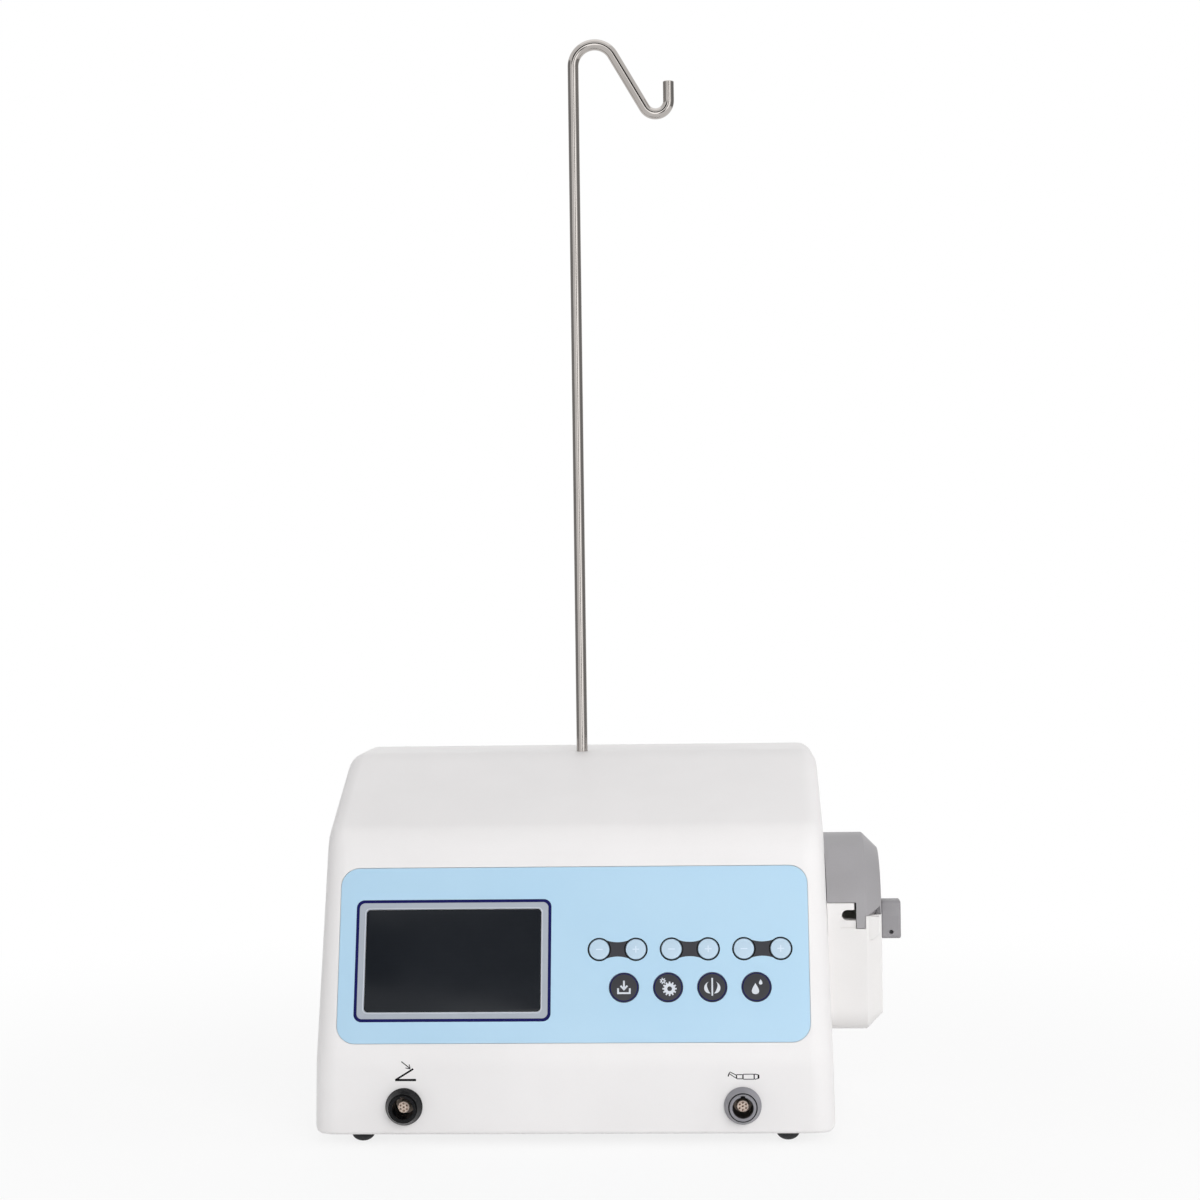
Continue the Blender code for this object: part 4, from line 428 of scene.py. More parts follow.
def circle(radius: float, centre: Sequence[float] = (0, 0), count: int = ROUND_SIDES) -> Array:
    """Points round a circle, anticlockwise."""
    turn = np.linspace(0, 2 * math.pi, count, endpoint=False)
    return np.array(centre) + radius * np.stack([np.cos(turn), np.sin(turn)], -1)


def arc(
    radius: float, start: float, end: float, centre: Sequence[float] = (0, 0), steps: int = 24
) -> Array:
    """Points on an arc between two angles."""
    turn = np.linspace(start, end, steps + 1)
    return np.array(centre) + radius * np.stack([np.cos(turn), np.sin(turn)], -1)


def mitres(before: Array, after: Array) -> Array:
    """How far a point moves when the edges on both sides move left by one.

    Args:
        before: unit directions of the edges that arrive.
        after: unit directions of the edges that leave.

    Returns:
        Twice the sum of the edges' left normals over that sum's square.
    """
    total = before + after
    left = np.stack([-total[..., 1], total[..., 0]], -1)
    return 2 * left / (left**2).sum(-1, keepdims=True)


def stroke(line: Array, width: Array | float, closed: bool) -> tuple[Array, Array]:
    """The left and right edge of a pen stroke along a line.

    Args:
        line: points of the line, shaped (points, 2).
        width: the stroke's width, or one width for each point.
        closed: whether the line returns to its start.

    Returns:
        Points of both edges: the line moved by half its width to each side.
    """
    parts = unit(np.diff(line, axis=0, append=line[:1]))
    if closed:
        before, after = np.roll(parts, 1, 0), parts
    else:
        before, after = np.vstack([parts[:1], parts[:-1]]), np.vstack([parts[:-1], parts[-2:-1]])
    aside = mitres(before, after) * np.reshape(width, (-1, 1)) / 2
    return line + aside, line - aside


def raised(outline: Array, level: Array | float) -> Array:
    """Flat points with a height as their third number."""
    outline = np.asarray(outline, float)
    return np.concatenate([outline, np.broadcast_to(level, (*outline.shape[:-1], 1))], -1)


def show(name: str, data: bpy.types.ID) -> Thing:
    """Puts data into the scene.

    Args:
        name: the new object's name.
        data: its mesh, camera or lamp.

    Returns:
        The new object, at the origin.
    """
    made = bpy.data.objects.new(name, data)
    bpy.context.scene.collection.objects.link(made)
    return made


class Form:
    """Closed surfaces gathered from grids of points, which become one mesh."""

    def __init__(self) -> None:
        """Starts with nothing in it."""
        self.points: list[Array] = []
        self.faces: list[list[int]] = []
        self.total = 0

    def rows(self, grid: Array, ring: bool = False) -> "Form":
        """Adds a grid whose rows each close on themselves.

        A quad fills each cell between neighbouring rows and columns. On a ring the last row joins
        the first, and otherwise a flat face closes each end.

        Args:
            grid: points in the console's axes, shaped (rows, columns, 3).
            ring: whether the last row joins the first.

        Returns:
            This form.
        """
        count, across = grid.shape[:2]
        index = np.arange(count * across).reshape(count, across) + self.total
        laps = np.vstack([index, index[:1]]) if ring else index
        side = np.roll(laps, -1, axis=1)
        cells = np.stack([laps[:-1], side[:-1], side[1:], laps[1:]], axis=-1)
        self.faces += cells.reshape(-1, 4).tolist()
        if not ring:
            self.faces += [index[0][::-1].tolist(), index[-1].tolist()]
        self.points.append(grid.reshape(-1, 3))
        self.total += count * across
        return self

    def prism(
        self, outline: Array, low: float, high: float, place: Place = HERE, ease: Spot = (0.0, 0.0)
    ) -> "Form":
        """Adds an outline carried along its own Z, with its end edges eased to quarter rounds.

        Args:
            outline: closed flat outline.
            low: where it starts along Z.
            high: where it ends along Z.
            place: where it stands.
            ease: radii of the edges at the start and at the end.

        Returns:
            This form.
        """
        bend = np.linspace(0, QUARTER, EASE_STEPS + 1)
        below = bend if ease[0] else bend[-1:]
        above = bend[::-1] if ease[1] else bend[-1:]
        insets = np.concatenate([ease[0] * (1 - np.sin(below)), ease[1] * (1 - np.sin(above))])
        first, last = low + ease[0] * (1 - np.cos(below)), high - ease[1] * (1 - np.cos(above))
        levels = np.concatenate([first, last])
        ahead = unit(np.roll(outline, -1, 0) - outline)
        x, y = outline.T
        turn = np.sign((x * np.roll(y, -1) - np.roll(x, -1) * y).sum())
        moves = turn * mitres(np.roll(ahead, 1, 0), ahead)
        return self.rows(place.put(raised(outline + insets[:, None, None] * moves, levels[:, None, None])))

    def box(self, low: Sequence[float], high: Sequence[float]) -> "Form":
        """Adds a box between two corners."""
        corners = np.array(((low[0], low[1]), (high[0], low[1]), (high[0], high[1]), (low[0], high[1])))
        return self.rows(raised(np.stack([corners, corners]), np.reshape((low[2], high[2]), (2, 1, 1))))

    def turned(
        self, profile: Points, place: Place = HERE, sides: int = ROUND_SIDES, ring: bool = False
    ) -> "Form":
        """Adds a profile of radius and height spun about its own Z.

        Args:
            profile: pairs of radius and height, which end on the axis unless it is a ring.
            place: where it stands.
            sides: parts of the turn.
            ring: whether the profile closes on itself round a bore.

        Returns:
            This form.
        """
        radius, height = np.array(profile, float).T
        spin = circle(1, count=sides)
        return self.rows(place.put(raised(radius[:, None, None] * spin, height[:, None, None])), ring)

    def rod(
        self, radius: float, low: float, high: float, place: Place = HERE, sides: int = ROUND_SIDES
    ) -> "Form":
        """Adds a round bar along its own Z."""
        return self.turned(((0, low), (radius, low), (radius, high), (0, high)), place, sides)

    def pin(
        self, radius: float, ends: Spot, chamfer: float, place: Place,
        sides: int = SMALL_SIDES, bore: float = 0.0,
    ) -> "Form":
        """Adds a round bar along its own Z, with both ends chamfered.

        Args:
            radius: of the bar.
            ends: where it starts and ends along Z.
            chamfer: width and length of each end's bevel.
            place: where it stands.
            sides: parts of the turn.
            bore: radius of a hole through it.

        Returns:
            This form.
        """
        low, high = ends
        near = ((bore, low), (radius - chamfer, low), (radius, low + chamfer))
        far = ((radius, high - chamfer), (radius - chamfer, high), (bore, high))
        return self.turned(near + far, place, sides, ring=bore > 0)

    def band(self, outer: Array, inner: Array, layer: Layer) -> "Form":
        """Prints a band between two outlines of as many points."""
        return self.rows(layer.edges(outer, inner, 0), ring=True)

    def sheet(self, outline: Array, layer: Layer) -> "Form":
        """Prints a filled outline."""
        return self.rows(layer.put(np.stack([raised(outline, layer.low), raised(outline, layer.high)])))

    def pen(self, line: Array, width: Array | float, layer: Layer, closed: bool = False) -> "Form":
        """Prints a pen stroke along a line, which may return to its start."""
        return self.rows(layer.edges(*stroke(line, width, closed), 1), closed)

    def thing(self, name: str) -> Thing:
        """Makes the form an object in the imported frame, with doubles merged and faces outwards.

        Args:
            name: the object's and its mesh's name.

        Returns:
            The new object.
        """
        mesh = bpy.data.meshes.new(name)
        mesh.from_pydata((np.concatenate(self.points) + SHIFT).tolist(), [], self.faces)
        shape = bmesh.new()
        shape.from_mesh(mesh)
        bmesh.ops.remove_doubles(shape, verts=shape.verts, dist=1e-7)
        bmesh.ops.recalc_face_normals(shape, faces=shape.faces)
        shape.to_mesh(mesh)
        shape.free()
        return show(name, mesh)


def carve(name: str, base: Form, *steps: tuple[Cut, Form | Thing]) -> Thing:
    """Adds forms to a form, cuts them out of it, or keeps only what they share.

    Args:
        name: the new object's name.
        base: the form to start from.
        steps: what to do, and with which form or finished object, in order.

    Returns:
        An object with the finished mesh. The tools are removed.
    """
    target = base.thing(name + "_blank")
    tools = []
    for number, (kind, tool) in enumerate(steps):
        tools.append(tool.thing(f"{name}_tool_{number}") if isinstance(tool, Form) else tool)
        modifier = target.modifiers.new(f"step_{number}", "BOOLEAN")
        modifier.operation = kind.value
        modifier.solver = "EXACT"
        modifier.object = tools[-1]
    mesh = bpy.data.meshes.new_from_object(target.evaluated_get(bpy.context.evaluated_depsgraph_get()))
    mesh.name = name
    for thing in (target, *tools):
        bpy.data.objects.remove(thing)
    return show(name, mesh)


def dress(
    piece: Thing, finish: Finish, *nodes: str,
    body: str = "console", centre: Point | None = None, crease: float = 32.0,
) -> Thing:
    """Gives a piece its finish and shading, and puts it on its body.

    Args:
        piece: the finished object.
        finish: its surface.
        nodes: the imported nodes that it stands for.
        body: the body that it moves with.
        centre: a point on its lathe's axis in the console's axes, for turned rings.
        crease: edges sharper than this many degrees stay sharp.

    Returns:
        The piece.
    """
    mesh = piece.data
    mesh.materials.clear()
    mesh.materials.append(finish.make((0, 0, 0) if centre is None else np.array(centre) + SHIFT))
    mesh.shade_smooth()
    mesh.set_sharp_from_angle(angle=math.radians(crease))
    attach(piece, body)
    if nodes:
        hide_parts(*nodes)
    return piece


def repaint(finish: Finish, *nodes: str) -> Iterator[Thing]:
    """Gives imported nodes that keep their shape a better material.

    Args:
        finish: their surface.
        nodes: their names.

    Yields:
        Each node's object.
    """
    for name in nodes:
        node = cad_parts[name]
        node.data.materials.clear()
        node.data.materials.append(finish.make())
        yield node


class Assembly:
    """A sub-assembly that builds and dresses its own pieces."""

    def build(self) -> Iterator[Thing]:
        """Yields each finished piece."""
        raise NotImplementedError


@dataclass(frozen=True)
class Shell:
    """The housing's form: one side profile carried across the width, with rounded sides.

    The profile's six edges are the band, the panel, the slope, the top, the rear and the underside.
    A corner radius belongs to the corner where its edge starts, and an edge round to where its edge
    meets the sides.
    """

    half_width: float = 0.1377
    depth: float = 0.195
    bottom: float = 0.006
    top: float = 0.199
    wall: float = 0.003
    draft: float = math.radians(1.1)
    knee: float = 0.045
    panel_length: float = 0.1223
    slope: float = math.radians(24.5)
    corner_radii: tuple[float, ...] = (0.002, 0.030, 0.022, 0.040, 0.012, 0.002)
    edge_rounds: tuple[float, ...] = (0.013, 0.013, 0.0095, 0.0095, 0.006, 0.0045)
    side_steps: int = 22

    def half_at(self, height: Array | float) -> Array | float:
        """Half the width at a height: the sides lean in by the mould's draft."""
        return self.half_width - math.tan(self.draft) * (height - self.bottom)

    def on_front(self, points: Array) -> Array:
        """Takes X, Z and a height above the surface to the front band and the knee's arc above it.

        Args:
            points: flat points with heights, shaped (..., 3).

        Returns:
            Points in the console's axes. Above the arc's start the depth is its radius less the root
            of the radius squared less the rise squared.
        """
        radius = self.corner_radii[1]
        start = self.knee - radius * math.tan(TILT / 2)
        rise = np.maximum(points[..., 1] - start, 0)
        back = radius - np.sqrt(radius**2 - rise**2) - points[..., 2]
        return np.stack([points[..., 0], back, points[..., 1]], -1)

    def profile(self, insets: Array) -> Array:
        """Corners of the side profile in Y and Z, each edge moved inwards by its own inset.

        Args:
            insets: one row of six insets for each section.

        Returns:
            Corners, shaped (sections, 6, 2): where each two neighbouring edges cross.
        """
        ridge = np.array((0, self.knee)) + self.panel_length * np.array((math.sin(TILT), math.cos(TILT)))
        crown = (ridge[0] + (self.top - ridge[1]) / math.tan(self.slope), self.top)
        front = ((0, self.bottom), (0, self.knee), ridge, crown)
        corners = np.array((*front, (self.depth, self.top), (self.depth, self.bottom)))
        along = unit(np.roll(corners, -1, 0) - corners)
        inwards = np.stack([along[:, 1], -along[:, 0]], 1)
        reach = (inwards * corners).sum(1) + insets
        pairs = np.stack([np.roll(inwards, 1, 0), inwards], 1)
        sides = np.stack([np.roll(reach, 1, 1), reach], -1)
        return np.linalg.solve(pairs, sides[..., None])[..., 0]

    def sections(self, shrink: float, drop: float = 0.0) -> Array:
        """Outlines across the width. Near the sides each edge draws in along a quarter round.

        Args:
            shrink: how far every face moves inwards.
            drop: with a drop, the underside moves down by it instead.

        Returns:
            Points, shaped (sections, points, 3).
        """
        rounds = np.maximum(np.array(self.edge_rounds) - shrink, 0)
        rounds[-1] *= not drop
        half = self.half_width - shrink
        widest = rounds.max()
        out = half - widest + widest * np.sin(np.linspace(0, QUARTER, self.side_steps + 1))
        x = np.concatenate([-out[::-1], out])
        past = np.clip(np.abs(x)[:, None] - (half - rounds), 0, rounds)
        insets = shrink + rounds - np.sqrt(rounds**2 - past**2)
        if drop:
            insets[:, -1] = -drop
        least = np.maximum(np.minimum(insets, np.roll(insets, 1, 1)), 0)
        radii = np.maximum(np.array(self.corner_radii) - least, self.corner_radii[0] / 2)
        outline = rounded(self.profile(insets), radii)
        across = x[:, None] * self.half_at(outline[..., 1]) / self.half_width
        return np.concatenate([across[..., None], outline], -1)


@dataclass(frozen=True)
class Signs(Assembly):
    """A pedal and a handpiece printed over the two sockets.

    Lines and corners are in millimetres on the front, each with its stroke's width or its radius.
    """

    shell: Shell
    gap: float = 0.000005
    pedal: Strokes = (
        (((-93.6, 34.95), (-88.1, 34.95), (-82.5, 34.95)), 1.2),
        (((-93.2, 35.1), (-88.6, 37.9), (-83.9, 40.8)), 0.95),
        (((-90.2, 44.6), (-88.0, 42.9), (-85.9, 41.25)), 0.5),
        (((-88.0, 41.35), (-86.8, 41.0), (-85.6, 40.85), (-85.75, 42.0), (-86.1, 43.1)), 0.45),
    )
    handpiece: Strokes = (
        (((89.4, 34.75), (95.0, 34.75), (95.0, 37.35), (89.4, 37.35)), 0.25),
        (((86.0, 34.95), (89.1, 34.95), (89.1, 37.15), (86.0, 37.15)), 0.3),
        (((95.2, 34.6), (97.6, 35.2), (97.6, 36.9), (95.2, 37.5)), 0.4),
        (((82.0, 37.75), (85.8, 35.2), (85.8, 36.9), (82.5, 38.55)), 0.2),
    )
    outline_width: float = 0.42
    drill: tuple[Spot, ...] = ((81.5, 36.2), (81.75, 37.0), (82.0, 37.8))
    drill_width: float = 0.6
    plug: tuple[Spot, ...] = ((96.9, 35.2), (97.6, 35.4), (97.6, 36.7), (96.9, 36.9))
    plug_radius: float = 0.1

    def build(self) -> Iterator[Thing]:
        """Yields both signs, drawn with a pen."""
        layer = Layer(self.gap, INK, self.shell.on_front)
        pedal = Form()
        for line, width in self.pedal:
            pedal.pen(np.array(line) * MM, width * MM, layer)
        yield dress(pedal.thing("pedal_mark"), BLACK_INK)
        tool = Form()
        for corners, radius in self.handpiece:
            tool.pen(rounded(corners, radius, 3) * MM, self.outline_width * MM, layer, closed=True)
        tool.pen(np.array(self.drill) * MM, self.drill_width * MM, layer)
        tool.sheet(rounded(self.plug, self.plug_radius, 2) * MM, replace(layer, high=OVER_INK))
        yield dress(tool.thing("handpiece_mark"), BLACK_INK)


@dataclass(frozen=True)
class Key:
    """One key: its node, its place on the panel, its radius and its sign."""

    node: str
    x: float
    s: float
    radius: float
    sign: Sign

    @property
    def pale(self) -> bool:
        """Whether it is one of the step keys."""
        return self.sign in (Sign.MINUS, Sign.PLUS)


# Signs drawn with a pen: the pen's width and its lines, in millimetres about the key's middle.
BAR = ((-1.8, 0), (0, 0), (1.8, 0))
PEN_SIGNS = {
    Sign.MINUS: (0.55, (BAR,)),
    Sign.PLUS: (0.55, (BAR, ((0, -0.3), (0, -1), (0, -1.8)), ((0, 0.3), (0, 1), (0, 1.8)))),
    Sign.TRAY: (
        0.95,
        (
            ((-3.1, -0.4), (-3.1, -3.0), (3.1, -3.0), (3.1, -0.4)),
            ((0, 3.6), (0, 1.4), (0, -0.6)),
            ((-1.8, 0.9), (0, -1.0), (1.8, 0.9)),
        ),
    ),
    Sign.CRESCENTS: (0.85, (((0, -4.6), (0, 0), (0, 4.8)),)),
}
# The crescents' radius and the angles of their ends. Their width at the ends, what it grows by, and
# the powers that move its widest point and fill it out.
CRESCENT = (3.45, math.radians(128), math.radians(254))
SWELL = (0.1, 1.75, 1.25, 1.2)
# Each gear's middle, its radii at tip, root and hole, and its teeth. How steep a tooth is, and the
# points that draw it.
GEARS = (((0.8, -0.8), 3.8, 2.85, 1.25, 12), ((-2.75, 3.35), 1.65, 1.0, 0.5, 7))
TOOTH_SLOPE = 1.4
TOOTH_POINTS = 20
# Each drop's middle and half length. The drops' breadth by that length, and how sharp they end.
DROPS = (((-0.6, -0.9), 3.0), ((2.2, 2.6), 1.45))
DROP_BREADTH = 0.92
DROP_POINT = 1.6


def draw_sign(sign: Sign, layer: Layer) -> Form:
    """Draws a key's sign.

    A gear's radius swings between root and tip with a clipped cosine. A crescent's width grows from
    a point and falls to one, as a power of a sine. A drop is a cosine along, and across a sine times
    a power of the half angle's sine.

    Args:
        sign: which one.
        layer: the print that it belongs to.

    Returns:
        The sign's form.
    """
    mark = Form()
    width, lines = PEN_SIGNS.get(sign, (0, ()))
    for line in lines:
        mark.pen(np.array(line) * MM, width * MM, layer)
    if sign is Sign.CRESCENTS:
        bow = arc(*CRESCENT, steps=40)
        share = np.linspace(0, 1, len(bow))
        least, growth, lean, fullness = SWELL
        swell = least + growth * np.sin(math.pi * share**lean) ** fullness
        for side in (1, -1):
            mark.pen(bow * np.array((side, 1)) * MM, swell * MM, layer)
    elif sign is Sign.GEARS:
        for centre, tip, root, hole, teeth in GEARS:
            rim = circle(1, count=teeth * TOOTH_POINTS)
            turn = np.arctan2(rim[:, 1], rim[:, 0])
            swing = np.clip(0.5 + TOOTH_SLOPE * np.cos(teeth * turn), 0, 1)[:, None]
            outer = np.array(centre) + rim * (root + (tip - root) * swing)
            mark.band(outer * MM, (np.array(centre) + rim * hole) * MM, layer)
    elif sign is Sign.DROPS:
        turn = np.linspace(0, 2 * math.pi, ROUND_SIDES, endpoint=False)
        across = np.sin(turn) * np.abs(np.sin(turn / 2)) ** DROP_POINT
        for centre, size in DROPS:
            outline = np.array(centre) + size * np.stack([-DROP_BREADTH * across, np.cos(turn)], -1)
            mark.sheet(outline * MM, layer)
    return mark


@dataclass(frozen=True)
class Panel(Assembly):
    """Film, display window, keys and print on the tilted face."""

    shell: Shell
    width: float = 0.250
    height: float = 0.0939
    centre: float = 0.0560
    corner: float = 0.0097
    film: float = 0.0006
    film_ease: float = 0.00012
    window: Spot = (0.0937, 0.0547)
    window_corner: float = 0.002
    window_spot: Spot = (-0.064, 0.053)
    window_ease: float = 0.0002
    ledge: float = 0.002
    frame_outer: Point = (0.1047, 0.0653, 0.0042)
    frame_inner: Point = (0.1014, 0.0620, 0.0029)
    lip_margin: float = 0.0009
    lip_corner: float = 0.0026
    step_radius: float = 0.0053
    step_ring: float = 0.00625
    step_waist: float = 0.0041
    step_spacing: float = 0.01945
    step_pitch: float = 0.03836
    step_row: float = 0.0583
    round_radius: float = 0.0077
    round_pitch: float = 0.02332
    round_row: float = 0.0380
    round_rim: float = 0.0005
    field_x: float = 0.0621
    crown: float = 0.00035
    key_edge: float = 0.00018
    flange: float = 0.0015
    flange_top: float = -0.0033
    flange_thickness: float = 0.001
    stem_radius: float = 0.002
    stem_length: float = 0.0017

    @property
    def place(self) -> Place:
        """The panel's axes: X to the right, Y up the tilted face, Z out of it."""
        return Lie.ON_PANEL.at(0, 0, self.shell.knee)

    def film_outline(self, grow: float) -> Array:
        """The film's outline, grown by a gap."""
        return rectangle(self.width, self.height, self.corner + grow, (0, self.centre), grow)

    def window_outline(self, grow: float) -> Array:
        """The window's outline, grown by a gap."""
        corner = max(self.window_corner + grow, self.window_corner / 2)
        return rectangle(*self.window, corner, self.window_spot, grow)

    def keys(self) -> list[Key]:
        """Lists three pairs of step keys and four round keys below them.

        Returns:
            The keys, from left to right in each row.
        """
        made = []
        for column, setting in enumerate(("program", "speed", "torque")):
            for side, step, sign in ((-1, "down", Sign.MINUS), (1, "up", Sign.PLUS)):
                x = self.field_x + (column - 1) * self.step_pitch + side * self.step_spacing / 2
                made.append(Key(f"{setting}_{step}_key", x, self.step_row, self.step_radius, sign))
        signs = (Sign.TRAY, Sign.GEARS, Sign.CRESCENTS, Sign.DROPS)
        for column, setting in enumerate(("memory", "gear", "direction", "coolant")):
            x = self.field_x + (column - 1.5) * self.round_pitch
            made.append(Key(f"{setting}_key", x, self.round_row, self.round_radius, signs[column]))
        return made

    def build(self) -> Iterator[Thing]:
        """Yields the film with its holes, the window, the keys and the print."""
        holes = Form().prism(self.window_outline(SEAT), -OVERRUN, OVERRUN, self.place)
        for key in self.keys():
            holes.rod(key.radius + SEAT, -OVERRUN, OVERRUN, self.place.moved(key.x, key.s))
        film = Form().prism(self.film_outline(0), -self.film, 0, self.place, (0, self.film_ease))
        overlay = carve("blue_overlay", film, (Cut.REMOVE, holes))
        yield dress(overlay, BLUE_FILM, "front_overlay")
        pane = Form().prism(self.window_outline(0), -self.film, 0, self.place, (0, self.window_ease))
        yield dress(pane.thing("display_pane"), SCREEN, "display_window")
        for key in self.keys():
            yield from self.build_key(key)
        yield from self.build_print()

    def build_key(self, key: Key) -> Iterator[Thing]:
        """Turns one key and prints its sign, and a line round a dark key inside its eased edge.

        Args:
            key: which key.

        Yields:
            The cap and its prints.
        """
        radius, low = key.radius, self.flange_top - self.flange_thickness
        wide, stem = radius + self.flange, low - self.stem_length
        flat = radius - self.key_edge
        edge = arc(self.key_edge, QUARTER, 0, (flat, self.crown - self.key_edge), 5)
        skirt = ((radius, self.flange_top), (wide, self.flange_top), (wide, low))
        foot = ((self.stem_radius, low), (self.stem_radius, stem), (0, stem))
        place = self.place.moved(key.x, key.s)
        cap = Form().turned(np.vstack([((0, self.crown),), edge, skirt, foot]), place)
        film = PALE_KEY if key.pale else DARK_KEY
        yield dress(cap.thing(key.node + "_cap"), film, key.node, body=key.node)
        layer = Layer(self.crown + INK_GAP, self.crown + INK, place.put)
        mark = draw_sign(key.sign, layer)
        if key.pale:
            yield dress(mark.thing(key.node + "_sign"), PALE_INK, body=key.node)
            return
        yield dress(mark.thing(key.node + "_symbol"), SILVER_INK, body=key.node)
        rim = Form().band(circle(flat), circle(flat - self.round_rim), layer)
        yield dress(rim.thing(key.node + "_rim"), NAVY_INK, body=key.node)

    def build_print(self) -> Iterator[Thing]:
        """Yields the display's frame, and the rings and dark bridges that pair the step keys."""
        layer = Layer(INK_GAP, INK, self.place.put)
        middle = self.window_spot
        outer, inner = rectangle(*self.frame_outer, middle), rectangle(*self.frame_inner, middle)
        lip = rectangle(*self.window, self.lip_corner, middle, self.lip_margin)
        for name, ink, outside, inside in (
            ("display_line", NAVY_INK, outer, inner),
            ("display_border", FRAME_INK, inner, lip),
            ("display_lip", LIGHT_INK, lip, self.window_outline(SEAT)),
        ):
            yield dress(Form().band(outside, inside, layer).thing(name), ink)
        rings, bridges = Form(), Form()
        hole = self.step_radius + SEAT
        for column in (-1, 0, 1):
            centre = (self.field_x + column * self.step_pitch, self.step_row)
            for side in (-1, 1):
                spot = (centre[0] + side * self.step_spacing / 2, centre[1])
                rings.band(circle(self.step_ring, spot), circle(hole, spot), layer)
            bridges.sheet(np.array(centre) + self.bridge(hole), replace(layer, high=UNDER_INK))
        yield dress(rings.thing("step_key_rings"), BLACK_INK)
        yield dress(bridges.thing("step_key_bridges"), BRIDGE_INK)

    def bridge(self, hole: float) -> Array:
        """The print between two step keys: arcs round the keys, joined by two hollow curves.

        Args:
            hole: radius of the key holes.

        Returns:
            Points about the pair's middle. Each hollow curve is a circle that touches both rings.
        """
        half, waist, rim = self.step_spacing / 2, self.step_waist, self.step_ring
        hollow = (half**2 + waist**2 - rim**2) / (2 * (rim - waist))
        reach = math.atan2(waist + hollow, half)
        left = arc((hole + rim) / 2, reach, -reach, (-half, 0), 16)
        across = np.linspace(left[0, 0], -left[0, 0], 25)
        top = waist + hollow - np.sqrt(hollow**2 - across**2)
        top *= left[0, 1] / top[0]
        edge = np.stack([across, top], -1)[1:-1]
        return np.vstack([left[::-1], edge, left * (-1, 1), edge[::-1] * (1, -1)])


